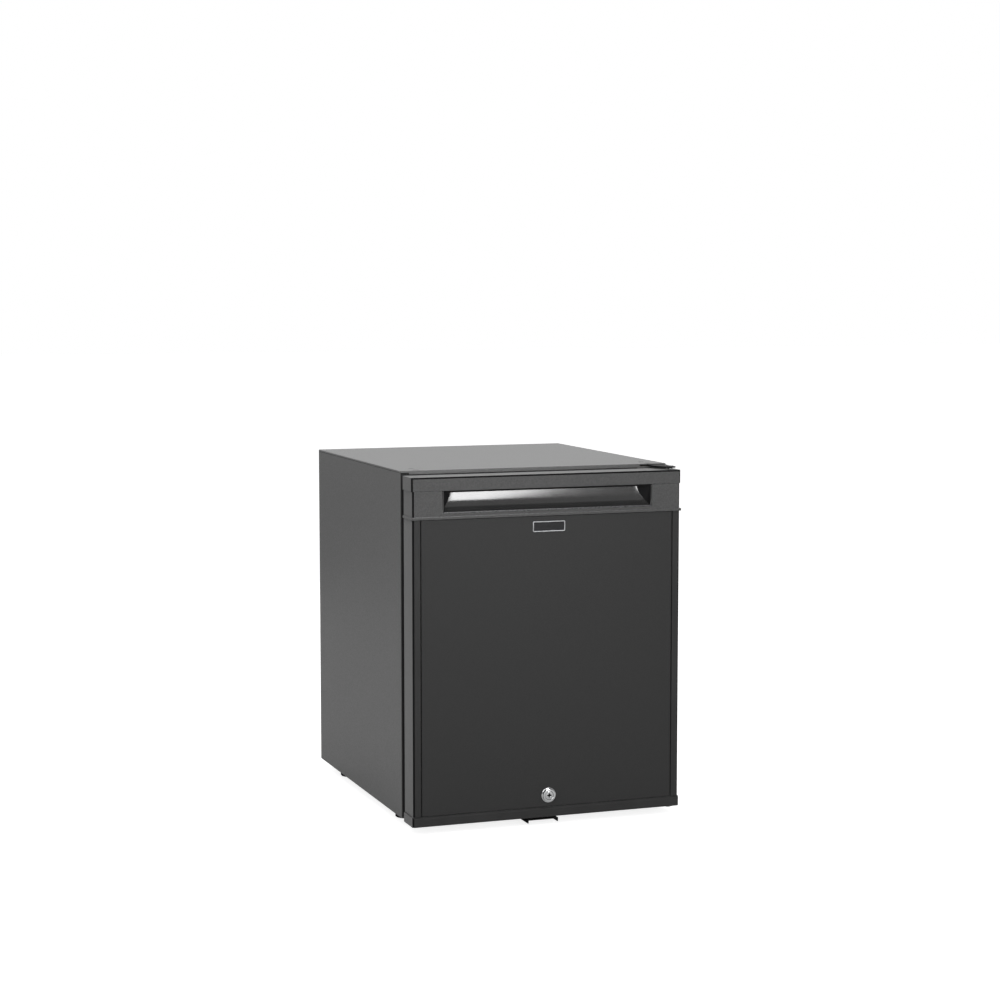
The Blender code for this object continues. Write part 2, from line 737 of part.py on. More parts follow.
def hinge_outline(end):
    """Outline of a hinge plate from above: an ear round the pin and a tongue that runs back to end."""
    right = X_HINGE + HINGE_EAR
    left = right - HINGE_WIDTH
    ear = arc((X_HINGE, Y_HINGE), HINGE_EAR, 205, 360, 6)
    return [(left, min(Y_CABINET - HINGE_NECK, end - HINGE_TONGUE))] + ear + [(right, end), (left, end)]


def pin_hole(low, high, radius):
    """Round hole on the door's axis for something of the given radius."""
    return rod((X_HINGE, Y_HINGE, low), (X_HINGE, Y_HINGE, high), radius + GAP)


def hinge_pin(head, end):
    """Pin with a flat head outside the plate and a bevelled end in the door."""
    way = 1 if end > head else -1
    flange = PIN_RADIUS + PIN_FLANGE
    length = abs(end - head)
    profile = [(0, -PIN_HEAD), (flange, -PIN_HEAD), (flange, 0), (PIN_RADIUS, 0),
               (PIN_RADIUS, length - PIN_BEVEL), (PIN_RADIUS - PIN_BEVEL, length), (0, length)]
    return turned(profile, (X_HINGE, Y_HINGE, head), (0, 0, way), 16)


def hinges():
    """Upper and lower hinge plates with their pins, the screws and the insert that closes the spare holes."""
    low, high = hinge_plate_levels()
    shape = prism(hinge_outline(Y_CABINET + HINGE_LENGTH), "z", low, high)
    plate = add_part("top_hinge_plate", shape, "black_steel")
    cut(plate, pin_hole(low - OVERSHOOT, high + OVERSHOOT, PIN_RADIUS))
    for setback, label in zip(SCREW_SETBACKS, ("front", "rear")):
        cut(plate, screw(hinge_screw(setback), (0, 0, -1), GAP))
        add_part("hinge_screw_" + label, screw(hinge_screw(setback), (0, 0, -1)), "zinc")
    add_part("top_hinge_pin", hinge_pin(high + GAP, Z_DOOR_TOP - PIN_LENGTH), "zinc")

    insert = add_part("spare_hole_insert", spare_insert(0), "dark_moulding")
    for setback in SCREW_SETBACKS:
        join(insert, spare_stud(-X_HINGE + SCREW_INSET, Y_CABINET + setback, Z_TOP, 0))

    top = Z_DOOR - 2 * GAP
    under = top - HINGE_PLATE
    riser = Y_DOOR_BACK + RISER_SETBACK
    seat = Z_BASE - GAP
    right = X_HINGE + HINGE_EAR
    left = right - HINGE_WIDTH
    shape = prism(hinge_outline(riser + HINGE_PLATE), "z", under, top)
    lower = add_part("bottom_hinge_plate", shape, "black_steel")
    join(lower, block((left, riser, under), (right, riser + HINGE_PLATE, seat)))
    join(lower, block((left, riser, seat - HINGE_PLATE), (right, Y_CABINET + HINGE_LENGTH, seat)))
    cut(lower, pin_hole(under - OVERSHOOT, top + OVERSHOOT, PIN_RADIUS))
    add_part("bottom_hinge_pin", hinge_pin(under - GAP, Z_DOOR + PIN_LENGTH), "zinc")


def strike():
    """Bent bracket under the cabinet that the lock's cam drops into."""
    left = -STRIKE_OFFSET - STRIKE_WIDTH / 2
    right = left + STRIKE_WIDTH
    top = Z_STRIKE + STRIKE_SHEET
    riser = Y_DOOR_BACK + RISER_SETBACK
    seat = Z_BASE - GAP
    tail = Y_CABINET + STRIKE_TAIL
    outline = [(Y_DOOR + GAP, Z_STRIKE), (riser + STRIKE_SHEET, Z_STRIKE),
               (riser + STRIKE_SHEET, seat - STRIKE_SHEET), (tail, seat - STRIKE_SHEET), (tail, seat),
               (riser, seat), (riser, top), (Y_DOOR + GAP, top)]
    bracket = add_part("lock_strike", prism(outline, "x", left, right), "black_steel")
    for edge in (left, right - STRIKE_SHEET):
        join(bracket, block((edge, Y_DOOR + GAP, top - STRIKE_FLANGE), (edge + STRIKE_SHEET, riser, top)))
    sweep = cam_sweep(top)
    cut(bracket, cam_slot(sweep, Z_STRIKE - OVERSHOOT, top + OVERSHOOT))


def cam_slot(sweep, low, high):
    """Slot that clears the cam from its sweep on the left to its own width on the right."""
    return block((-sweep - SLOT_CLEARANCE, Y_CAM - SLOT_CLEARANCE, low),
                 (CAM_WIDTH / 2 + SLOT_CLEARANCE, Y_CAM + CAM_THICKNESS + SLOT_CLEARANCE, high))


def cam_sweep(level):
    """How far to the left of the lock's axis the cam's end passes a level below the axis."""
    drop = Z_LOCK - level
    corner = math.hypot(CAM_REACH, CAM_WIDTH / 2)
    return math.sqrt(max(corner ** 2 - drop ** 2, 0))


def front_chamfer(shape, half, y, top=None):
    """Chamfer on the front's outer upright edges and, where a top is given, along it."""
    chamfer(shape, lambda place: near(place.y, y) and near(place.x, half), EDGE_CHAMFER)
    chamfer(shape, lambda place: near(place.y, y) and near(place.x, -half), EDGE_CHAMFER)
    if top:
        chamfer(shape, lambda place: near(place.y, y) and near(place.z, top), EDGE_CHAMFER)
    return shape


def door_mouldings():
    """Cap, handle band and bottom rail that frame the door, and the plug of its spare pin hole."""
    inner = X_DOOR - MOULDING
    back = Y_DOOR_BACK
    shape = block((-X_DOOR, Y_DOOR, Z_CAP), (X_DOOR, back, Z_DOOR_TOP))
    cap = add_part("door_top_cap", front_chamfer(shape, X_DOOR, Y_DOOR, Z_DOOR_TOP), "dark_moulding")
    cut(cap, block((-inner, Y_DOOR + MOULDING, Z_CAP - OVERSHOOT),
                   (inner, back + OVERSHOOT, Z_DOOR_TOP - MOULDING)))
    cut(cap, pin_hole(Z_CAP, Z_DOOR_TOP + OVERSHOOT, bush_radius()))
    cut(cap, spare_stud(-X_HINGE, Y_HINGE, Z_DOOR_TOP, GAP))

    inner = X_STRIP - MOULDING
    top = Z_CAP - GAP
    shape = block((-X_STRIP, Y_DOOR, Z_BAND), (X_STRIP, back, top))
    band = add_part("handle_band", front_chamfer(shape, X_STRIP, Y_DOOR), "dark_moulding")
    bead = Z_BAND + BEAD_HEIGHT
    proud = BEAD_PROUD
    join(band, block((-X_STRIP - proud, Y_DOOR - proud, Z_BAND), (X_STRIP + proud, back, bead)))
    cut(band, block((-inner, Y_DOOR + MOULDING, Z_BAND - OVERSHOOT),
                    (inner, back + OVERSHOOT, top + OVERSHOOT)))
    notch = OPENING_WIDTH / 2 + SCOOP_WALL + GAP
    cut(band, block((-notch, Y_DOOR - OVERSHOOT, Z_OPENING - SCOOP_WALL - GAP),
                    (notch, Y_DOOR + 2 * MOULDING, top + OVERSHOOT)))

    front = Y_DOOR - RAIL_PROUD
    shape = block((-X_DOOR, front, Z_DOOR), (X_DOOR, back, Z_RAIL))
    rail = add_part("bottom_rail", front_chamfer(shape, X_DOOR, front, Z_RAIL), "dark_moulding")
    inner = X_DOOR - MOULDING
    cut(rail, block((-inner, Y_DOOR + MOULDING, Z_DOOR + MOULDING),
                    (inner, back + OVERSHOOT, Z_RAIL + OVERSHOOT)))
    cut(rail, pin_hole(Z_DOOR - OVERSHOOT, Z_RAIL, bush_radius()))
    cut(rail, cam_slot(cam_sweep(Z_DOOR + MOULDING), Z_DOOR - OVERSHOOT, Z_DOOR + 2 * MOULDING))
    plug = add_part("door_hole_plug", spare_stud(-X_HINGE, Y_HINGE, Z_DOOR_TOP, 0), "dark_moulding")
    return [cap, band, rail, plug]


def side_profiles():
    """Folded profiles along the door's two sides, with a flange that the front panel lies between."""
    made = []
    flange = Y_DOOR + PANEL_SINK + PANEL_THICKNESS
    for side, label in ((-1, "left"), (1, "right")):
        outer = side * X_STRIP
        skin = outer - side * MOULDING
        edge = outer - side * STRIP_WIDTH
        outline = [(edge, Y_DOOR), (outer - side * EDGE_CHAMFER, Y_DOOR), (outer, Y_DOOR + EDGE_CHAMFER),
                   (outer, Y_DOOR_BACK), (skin, Y_DOOR_BACK), (skin, flange), (edge, flange)]
        shape = prism(outline, "z", Z_RAIL + GAP, Z_BAND - GAP)
        made.append(add_part("side_profile_" + label, shape, "dark_moulding"))
    return made


def bush_radius():
    """Outer radius of a hinge bush."""
    return PIN_RADIUS + GAP + BUSH_WALL


def door_front():
    """Sunk front panel and the bare plate on it."""
    half = X_STRIP - STRIP_WIDTH - SEAM
    face = Y_DOOR + PANEL_SINK
    shape = block((-half, face, Z_RAIL + SEAM), (half, face + PANEL_THICKNESS, Z_BAND - SEAM))
    panel = add_part("front_panel", shape, "door_panel")
    hole_ends = [(0, Y_DOOR + reach, Z_LOCK) for reach in (-OVERSHOOT, OVERSHOOT)]
    cut(panel, rod(*hole_ends, BARREL_RADIUS + GAP, 24))
    top = Z_BAND - PLATE_DROP
    back = face - GAP
    half = PLATE_WIDTH / 2
    shape = block((-half, back - PLATE_THICKNESS, top - PLATE_HEIGHT), (half, back, top))
    chamfer(shape, lambda place: place.y < back - PLATE_THICKNESS / 2, PLATE_THICKNESS / 3)
    return [panel, add_part("front_plate", shape, "gloss_black")]


def scoop_volume(section):
    """Section of (y, z) points stretched between slanted ends, narrower towards the back."""
    shape = bmesh.new()
    slope = SCOOP_SLANT / SCOOP_DEPTH
    rings = []
    for side in (-1, 1):
        places = [(side * (reach - slope * (y - Y_DOOR)), y, z) for y, z, reach in section]
        rings.append([shape.verts.new(place) for place in places])
    shape.faces.new(rings[0])
    shape.faces.new(reversed(rings[1]))
    count = len(section)
    for index in range(count):
        after = (index + 1) % count
        shape.faces.new((rings[0][index], rings[1][index], rings[1][after], rings[0][after]))
    return shape


def scoop():
    """Glossy insert that hollows the handle out behind the band and up behind the cap."""
    half = OPENING_WIDTH / 2
    front = Y_DOOR + SCOOP_SINK
    behind_cap = Y_DOOR + MOULDING + GAP
    roof = Z_CAP + HOOK_HEIGHT

    def curve(wall):
        """Quarter of an oval from the opening's lower edge to the back, on one side of the wall."""
        points = arc((0, 0), 1, -90, 0, SCOOP_STEPS)
        return [(front + (SCOOP_DEPTH + wall) * across, Z_CAP + (OPENING_HEIGHT + wall) * up, half + wall)
                for across, up in points]

    wall = SCOOP_WALL
    outside = curve(wall)
    depth = outside[-1][0]
    outside += [(depth, roof + wall, half + wall), (behind_cap, roof + wall, half + wall),
                (behind_cap, Z_CAP - 2 * GAP, half + wall), (front, Z_CAP - 2 * GAP, half + wall)]
    inside = [(Y_DOOR - OVERSHOOT, Z_OPENING, half)] + curve(0)
    inside += [(inside[-1][0], roof, half), (Y_DOOR - OVERSHOOT, roof, half)]
    insert = add_part("handle_scoop", scoop_volume(outside), "gloss_black")
    cut(insert, scoop_volume(inside))
    return [insert]


def door_core():
    """Insulation, inner liner and gasket of the door."""
    half = X_STRIP - MOULDING - GAP
    low = Z_DOOR + MOULDING + GAP
    high = Z_DOOR_TOP - MOULDING - GAP
    front = Y_DOOR + PANEL_SINK + PANEL_THICKNESS + GAP
    foam = add_part("door_insulation", block((-half, front, low), (half, Y_LINER - GAP, high)), "foam")
    skin = LINER + GAP
    for side in (-1, 1):
        low_x, high_x = sorted((side * (X_RIB_INNER + skin), side * (X_RIB - skin)))
        join(foam, block((low_x, Y_LINER - 2 * skin, Z_RIB + skin),
                         (high_x, Y_DOOR_BACK + RIB_DEPTH - skin, Z_RIB_TOP - skin)))
    reach = OPENING_WIDTH / 2 + SCOOP_WALL + GAP
    depth = Y_DOOR + SCOOP_SINK + SCOOP_DEPTH + SCOOP_WALL + GAP
    cut(foam, block((-reach, Y_DOOR - OVERSHOOT, Z_OPENING - SCOOP_WALL - GAP),
                    (reach, depth, high + OVERSHOOT)))
    cut(foam, lock_pocket())
    cut(foam, pin_hole(Z_DOOR_TOP - BUSH_DEPTH - GAP, high + OVERSHOOT, bush_radius()))
    cut(foam, pin_hole(low - OVERSHOOT, Z_DOOR + BUSH_DEPTH + GAP, bush_radius()))
    cut(foam, spare_stud(-X_HINGE, Y_HINGE, Z_DOOR_TOP, GAP))

    liner = add_part("door_liner", block((-half, Y_LINER, low), (half, Y_DOOR_BACK, high)), "white_plastic")
    for side in (-1, 1):
        low_x, high_x = sorted((side * X_RIB_INNER, side * X_RIB))
        tip = Y_DOOR_BACK + RIB_DEPTH
        join(liner, block((low_x, Y_LINER + LINER / 2, Z_RIB), (high_x, tip, Z_RIB_TOP)))
        cut(liner, block((low_x + LINER, Y_LINER - OVERSHOOT, Z_RIB + LINER),
                         (high_x - LINER, tip - LINER, Z_RIB_TOP - LINER)))
        for level in RACK_LEVELS:
            cut(liner, rack_lug(side, Z_RIB + level, OVERSHOOT, GAP))
    x, z = switch_place()
    join(liner, block((x - PAD_WIDTH / 2, Y_DOOR_BACK - LINER / 2, z - PAD_HEIGHT / 2),
                      (x + PAD_WIDTH / 2, Y_DOOR_BACK + PAD_REACH, z + PAD_HEIGHT / 2)))

    near_side = Y_DOOR_BACK + GAP
    far_side = Y_CABINET - GAP
    waist = (near_side + far_side) / 2
    section = [(0, near_side), (GASKET_WAIST, waist), (0, far_side), (GASKET_WIDTH, far_side),
               (GASKET_WIDTH - GASKET_WAIST / 2, waist), (GASKET_WIDTH, near_side)]
    inset = GASKET_INSET
    shape = upright_frame(X_SIDE - inset, Z_BASE + inset, Z_TOP - inset, section)
    gasket = add_part("door_gasket", shape, "black_rubber")
    return [foam, liner, gasket]


def rack_lug(side, low, inside, grow):
    """Lug of a rack in its slot through the rib's inner wall; grow widens it into the slot."""
    reach = X_RIB_INNER + LINER - GAP + 2 * grow
    low_x, high_x = sorted((side * (X_RIB_INNER - inside), side * reach))
    return block((low_x, Y_DOOR_BACK + LUG_SETBACK - grow, low - grow),
                 (high_x, Y_DOOR_BACK + LUG_SETBACK + LUG_DEPTH + grow, low + LUG_HEIGHT + grow))


def door_racks():
    """Bottle racks between the liner's ribs, held by a lug at each end."""
    racks = []
    half = X_RIB_INNER - GAP
    front = Y_DOOR_BACK + GAP
    back = Y_DOOR_BACK + RACK_DEPTH
    for label, level in zip(("lower", "middle", "upper"), RACK_LEVELS):
        low = Z_RIB + level
        high = low + RACK_HEIGHT
        shape = chamfer(block((-half, front, low), (half, back, high)),
                        lambda place: near(place.y, back) and not near(place.z, high), RACK_WALL)
        rack = add_part("door_rack_" + label, shape, "white_plastic")
        cut(rack, block((-half + RACK_WALL, front + RACK_WALL, low + RACK_WALL),
                        (half - RACK_WALL, back - RACK_WALL, high + OVERSHOOT)))
        for side in (-1, 1):
            join(rack, rack_lug(side, low, RACK_WALL / 2, 0))
        racks.append(rack)
    return racks


def bushes():
    """Plastic bearings for the hinge pins, in the cap and in the bottom rail."""
    made = []
    inner = PIN_RADIUS + GAP
    profile = [(inner, 0), (bush_radius(), 0), (bush_radius(), BUSH_DEPTH), (inner, BUSH_DEPTH)]
    for name, mouth, way in (("top_hinge_bush", Z_DOOR_TOP, -1), ("bottom_hinge_bush", Z_DOOR, 1)):
        shape = turned(profile, (X_HINGE, Y_HINGE, mouth), (0, 0, way), 20)
        made.append(add_part(name, shape, "grey_plastic"))
    return made


def lock_pocket():
    """Space left free of insulation round the lock, open to the front and down to the rail."""
    low_x = -CAM_REACH - POCKET_CLEARANCE
    high_x = NUT_ACROSS + POCKET_CLEARANCE
    back = Y_CAM + CAM_THICKNESS + POCKET_CLEARANCE
    return block((low_x, Y_DOOR, Z_DOOR), (high_x, back, Z_LOCK + nut_corner() + POCKET_CLEARANCE))


def nut_corner():
    """Distance from the lock's axis to a corner of its six-sided nut."""
    return NUT_ACROSS / math.cos(math.pi / 6)


def lock():
    """Lock body with its nut in the door, and the cylinder and cam that turn together."""
    face = Y_DOOR - LOCK_PROUD
    seat = Y_DOOR + PANEL_SINK - GAP
    end = Y_DOOR + BARREL_DEPTH
    bore = PLUG_RADIUS + GAP
    profile = [(bore, face), (LOCK_HEAD - LOCK_BEVEL, face), (LOCK_HEAD, face + LOCK_BEVEL),
               (LOCK_HEAD, seat), (BARREL_RADIUS, seat), (BARREL_RADIUS, end), (bore, end)]
    body = add_part("lock_body", turned(profile, (0, 0, Z_LOCK), (0, 1, 0), 28), "chrome")

    back = Y_DOOR + PANEL_SINK + PANEL_THICKNESS + GAP
    hexagon = [(x, z + Z_LOCK) for x, z in arc((0, 0), nut_corner(), 0, 300, 5)]
    nut = add_part("lock_nut", prism(hexagon, "y", back, back + NUT_THICKNESS), "zinc")
    hole_ends = [(0, back + reach, Z_LOCK) for reach in (-OVERSHOOT, NUT_THICKNESS + OVERSHOOT)]
    cut(nut, rod(*hole_ends, BARREL_RADIUS + GAP, 24))

    start = face + PLUG_SINK
    shoulder = end + GAP
    shape = rod((0, start, Z_LOCK), (0, shoulder, Z_LOCK), PLUG_RADIUS, 24)
    cylinder = add_part("lock_cylinder", shape, "chrome")
    tail = TAIL_HALF
    join(cylinder, block((-tail, end - TAIL_ROOT, Z_LOCK - tail),
                         (tail, shoulder + TAIL_LENGTH, Z_LOCK + tail)))
    star = [(KEYWAY_REACH if index % 2 == 0 else KEYWAY_WAIST) for index in range(8)]
    keyway = [(radius * math.cos(math.pi / 4 * index), Z_LOCK + radius * math.sin(math.pi / 4 * index))
              for index, radius in enumerate(star)]
    cut(cylinder, prism(keyway, "y", start - OVERSHOOT, start + KEYWAY_DEPTH))

    hub = [(x, Z_LOCK + z) for x, z in arc((0, 0), CAM_HUB, -145, 145, 10)]
    tip_x = -CAM_REACH + CAM_WIDTH / 2
    tip = [(x, Z_LOCK + z) for x, z in arc((tip_x, 0), CAM_WIDTH / 2, 90, 270, 6)]
    cam = add_part("lock_cam", prism(hub + tip, "y", Y_CAM, Y_CAM + CAM_THICKNESS), "zinc")
    hole = tail + GAP
    cut(cam, block((-hole, Y_CAM - OVERSHOOT, Z_LOCK - hole), (hole, Y_CAM + OVERSHOOT, Z_LOCK + hole)))
    return [body, nut], [cylinder, cam]


def switch_place():
    """X and Z of the door switch, between the cavity's top and the gasket."""
    gasket = Z_TOP - GASKET_INSET - GASKET_WIDTH
    return SWITCH_X, (Z_CEILING + LINER + gasket) / 2


def switch_pocket(start, end):
    """Round hole that the switch's plunger slides in."""
    x, z = switch_place()
    return rod((x, start, z), (x, end, z), PLUNGER_RADIUS + GAP)


def switch_block(grow):
    """Outside of the switch body behind the liner's flange."""
    x, z = switch_place()
    half = PLUNGER_RADIUS + GAP + SWITCH_WALL
    low = max(z - half, Z_CEILING + LINER + GAP)
    front = Y_CABINET + LINER + GAP
    return block((x - 2 * half - grow, front - grow, low - grow),
                 (x + 2 * half + grow, front + PLUNGER_STEM + SWITCH_WALL + grow, z + half + grow))


def door_switch():
    """Switch body in the cabinet's front edge and the plunger that the door liner's pad holds in."""
    x, z = switch_place()
    body = add_part("door_switch_body", switch_block(0), "white_plastic")
    front = Y_CABINET + LINER + GAP
    cut(body, switch_pocket(front - OVERSHOOT, front + PLUNGER_STEM))
    tip = Y_DOOR_BACK + PAD_REACH + GAP
    length = front + PLUNGER_STEM - GAP - tip
    profile = [(0, 0), (PLUNGER_RADIUS - PLUNGER_BEVEL, 0), (PLUNGER_RADIUS, PLUNGER_BEVEL),
               (PLUNGER_RADIUS, length), (0, length)]
    plunger = add_part("door_switch_plunger", turned(profile, (x, tip, z), (0, 1, 0), 12), "white_plastic")
    set_origin(plunger, (x, tip, z))


def shelves():
    """Wire shelves on the liner's ledges."""
    half = X_CAVITY - SHELF_SIDE_CLEARANCE
    front = Y_CABINET + SHELF_SETBACK
    back = Y_CAVITY - SHELF_SIDE_CLEARANCE
    radius = SHELF_FRAME_RADIUS
    for label, level in zip(("lower", "upper"), SHELF_LEVELS):
        z = level + GAP + radius
        section = [(radius + u, z + v) for u, v in arc((0, 0), radius, 0, 315, 7)]
        shelf = add_part("shelf_" + label, level_frame(half, front, back, section), "white_plastic")
        pitch = 2 * (half - radius) / (SHELF_WIRES + 1)
        for index in range(SHELF_WIRES):
            x = radius - half + pitch * (index + 1)
            join(shelf, rod((x, front + radius, z), (x, back - radius, z), SHELF_WIRE_RADIUS, 6))


def evaporator():
    """Finned plate and the tube behind it, which goes out through the rear wall at both ends."""
    mid = Z_EVAPORATOR - EVAPORATOR_PITCH / 2
    low = mid - FIN_PLATE_HEIGHT / 2
    high = low + FIN_PLATE_HEIGHT
    tube_y = Y_CAVITY - TUBE_CLEARANCE - TUBE_BEND
    plate_back = tube_y - TUBE_RADIUS - GAP
    plate_front = plate_back - FIN_PLATE
    pitch = (2 * FIN_PLATE_HALF - FIN_THICKNESS) / (FIN_COUNT - 1)
    tip = plate_front - FIN_DEPTH
    teeth = []
    for index in range(FIN_COUNT):
        left = -FIN_PLATE_HALF + index * pitch
        right = left + FIN_THICKNESS
        teeth += [(left, plate_front), (left, tip), (right, tip), (right, plate_front)]
    comb = [(FIN_PLATE_HALF, plate_back), (-FIN_PLATE_HALF, plate_back)] + teeth[1:-1]
    fins = add_part("evaporator_fins", prism(comb, "z", low, high), "aluminium")
    for side in (-1, 1):
        for z in (low + POST_HALF, high - POST_HALF):
            x = side * (FIN_PLATE_HALF - POST_HALF)
            join(fins, block((x - POST_HALF / 2, plate_back - FIN_PLATE / 2, z - POST_HALF / 2),
                             (x + POST_HALF / 2, Y_CAVITY - GAP, z + POST_HALF / 2)))

    (in_x, in_z), (out_x, out_z) = evaporator_ends()
    start_z = Z_CONDENSER - CONDENSER_FALL
    corners = [(-CONDENSER_LEFT - GAP, Y_UNIT, start_z), (in_x, Y_UNIT, start_z), (in_x, Y_UNIT, in_z),
               (in_x, tube_y, in_z), (EVAPORATOR_REACH, tube_y, in_z), (EVAPORATOR_REACH, tube_y, out_z),
               (out_x, tube_y, out_z), (out_x, Y_UNIT, out_z), (out_x, Y_UNIT, coil_top() + GAP)]
    add_part("evaporator_tube", tube(rounded(corners, TUBE_BEND), TUBE_RADIUS), "black_tube")


def drip_tray():
    """Tray under the evaporator and the tube that drains it through the rear wall."""
    top = tray_top()
    base = top - TRAY_HEIGHT
    front = Y_CAVITY - TRAY_DEPTH
    back = Y_CAVITY - GAP
    tray = add_part("drip_tray", block((-TRAY_HALF, front, base), (TRAY_HALF, back, top)), "white_plastic")
    cut(tray, block((-TRAY_HALF + TRAY_WALL, front + TRAY_WALL, base + TRAY_WALL),
                    (TRAY_HALF - TRAY_WALL, back - TRAY_WALL, top + OVERSHOOT)))
    z = drain_level()
    cut(tray, rod((DRAIN_X, back - 2 * TRAY_WALL, z), (DRAIN_X, back + OVERSHOOT, z),
                  DRAIN_RADIUS - DRAIN_WALL))
    down_y = Y_PANEL + DRAIN_RADIUS + DRAIN_STANDOFF
    end = Z_BASE + CUP_HEIGHT + DRAIN_END
    corners = [(DRAIN_X, Y_CAVITY, z), (DRAIN_X, down_y, z), (DRAIN_X, down_y, end)]
    add_part("drain_tube", tube(rounded(corners, DRAIN_BEND), DRAIN_RADIUS), "grey_plastic")


def coil_top():
    """Height at which the absorber coil begins."""
    return Z_TOP - COIL_DROP


def thermostat():
    """Housing on the right wall that holds the thermostat and the lamp, with the lamp's lens."""
    right = X_CAVITY - GAP
    left = right - HOUSING_WIDTH
    front = Y_CABINET + HOUSING_SETBACK
    back = front + HOUSING_LENGTH
    top = Z_CEILING - HOUSING_DROP
    low = top - HOUSING_HEIGHT
    mid = (low + top) / 2
    wall = HOUSING_WALL
    shape = block((left, front, low), (right, back, top))
    chamfer(shape, lambda place: near(place.x, left), HOUSING_BEVEL)
    housing = add_part("thermostat_housing", shape, "white_plastic")
    cut(housing, block((left + wall, front + wall, low + wall), (right + OVERSHOOT, back - wall, top - wall)))
    knob_y = front + HOUSING_HEIGHT / 2
    lens_y = back - HOUSING_HEIGHT / 2 - LENS_SETBACK
    cut(housing, rod((left - OVERSHOOT, knob_y, mid), (left + OVERSHOOT, knob_y, mid), SHAFT_RADIUS + GAP))
    half_y = LENS_LENGTH / 2
    half_z = LENS_HEIGHT / 2
    cut(housing, block((left - OVERSHOOT, lens_y - half_y, mid - half_z),
                       (left + OVERSHOOT, lens_y + half_y, mid + half_z)))
    lens = block((left - LENS_BULGE, lens_y - half_y + GAP, mid - half_z + GAP),
                 (left + LENS_THICKNESS, lens_y + half_y - GAP, mid + half_z - GAP))
    chamfer(lens, lambda place: near(place.x, left - LENS_BULGE), LENS_BULGE * 0.7)
    add_part("lamp_lens", lens, "white_plastic")
    thermostat_knob(left - GAP, knob_y, mid, left + wall + SHAFT_END)


def thermostat_knob(base, y, z, shaft_end):
    """Fluted knob with a raised pointer, and its shaft that reaches into the housing."""
    face = base - KNOB_HEIGHT
    outline = []
    for index in range(KNOB_FLUTES * 2):
        radius = KNOB_RADIUS if index % 2 == 0 else KNOB_RADIUS - FLUTE_DEPTH
        turn = math.pi * index / KNOB_FLUTES
        outline.append((y + radius * math.cos(turn), z + radius * math.sin(turn)))
    knob = prism(outline, "x", base, face)
    chamfer(knob, lambda place: near(place.x, face), KNOB_RIM / 2)
    dial = add_part("thermostat_knob", knob, "white_plastic")
    inside = base - KNOB_HEIGHT / 2
    join(dial, rod((inside, y, z), (shaft_end, y, z), SHAFT_RADIUS))
    join(dial, block((face - POINTER_PROUD, y - POINTER_HALF, z + KNOB_RADIUS / 3),
                     (inside, y + POINTER_HALF, z + KNOB_RADIUS - POINTER_INSET)))
    hang(add_axis("knob_axis", (base, y, z)), [dial])


def route_x(points):
    """Route at the cooling unit's depth through (x, z) points."""
    return [(x, Y_UNIT, z) for x, z in points]


def cooling_unit():
    """Boiler, finned condenser, absorber coil, and the vessel with the tube back to the boiler."""
    boiler_top = Z_BASE + BOILER_BOTTOM + BOILER_LENGTH
    boiler_low = Z_BASE + BOILER_BOTTOM
    neck = BOILER_RADIUS - BOILER_BEVEL
    profile = [(0, boiler_low), (neck, boiler_low), (BOILER_RADIUS, boiler_low + BOILER_BEVEL),
               (BOILER_RADIUS, boiler_top - BOILER_BEVEL), (neck, boiler_top), (0, boiler_top)]
    add_part("boiler", turned(profile, (X_BOILER, Y_UNIT, 0), (0, 0, 1), 24), "zinc")

    bend = RECTIFIER_RADIUS * 3
    condenser_right = X_BOILER - bend - CONDENSER_SETBACK
    fall = CONDENSER_FALL
    left = -CONDENSER_LEFT
    corners = route_x([(X_BOILER, boiler_top + GAP), (X_BOILER, Z_CONDENSER), (condenser_right, Z_CONDENSER),
                       (left, Z_CONDENSER - fall)])
    shape = tube(rounded(corners[:3], bend, 5) + corners[3:], RECTIFIER_RADIUS)
    condenser = add_part("condenser", shape, "black_tube")
    length = condenser_right - left
    first = (condenser_right + left) / 2 - COOLING_FIN_PITCH * (COOLING_FIN_COUNT - 1) / 2
    half = COOLING_FIN_HALF
    for index in range(COOLING_FIN_COUNT):
        x = first + COOLING_FIN_PITCH * index
        z = Z_CONDENSER - fall * (condenser_right - x) / length
        join(condenser, block((x, Y_UNIT - half, z - half),
                              (x + COOLING_FIN_THICKNESS, Y_UNIT + half, z + half)))

    top = coil_top()
    first_run = top - COIL_BEND
    corners = [(-COIL_LEFT, top)]
    for run in range(COIL_RUNS):
        level = first_run - run * COIL_PITCH
        ends = [(-COIL_LEFT, level), (COIL_RIGHT, level)]
        corners += ends if run % 2 == 0 else reversed(ends)
    last_x = -COIL_LEFT if COIL_RUNS % 2 == 0 else COIL_RIGHT
    vessel_z = Z_BASE + VESSEL_HEIGHT
    corners.append((last_x, vessel_z + VESSEL_RADIUS + GAP))
    add_part("absorber_coil", tube(rounded(route_x(corners), COIL_BEND * 0.95), TUBE_RADIUS), "black_tube")

    length = VESSEL_LEFT + VESSEL_RIGHT
    dome = VESSEL_RADIUS * 0.35
    flat = VESSEL_RADIUS * 0.6
    profile = [(0, 0), (flat, 0), (VESSEL_RADIUS, dome), (VESSEL_RADIUS, length - dome),
               (flat, length), (0, length)]
    shape = turned(profile, (-VESSEL_LEFT, Y_UNIT, vessel_z), (1, 0, 0), 24)
    vessel = add_part("absorber_vessel", shape, "black_tube")

    bend = EXCHANGER_RADIUS * 1.5
    start_x = VESSEL_RIGHT - VESSEL_RADIUS * 0.1
    turn_x = start_x + 2 * bend
    low = boiler_low - EXCHANGER_DROP
    corners = route_x([(start_x, vessel_z), (turn_x, vessel_z), (turn_x, low), (X_BOILER, low),
                       (X_BOILER, boiler_low - GAP)])
    join(vessel, tube(rounded(corners, bend), EXCHANGER_RADIUS))
    unit_brackets(boiler_low, boiler_top, first_run, vessel_z, condenser_right)


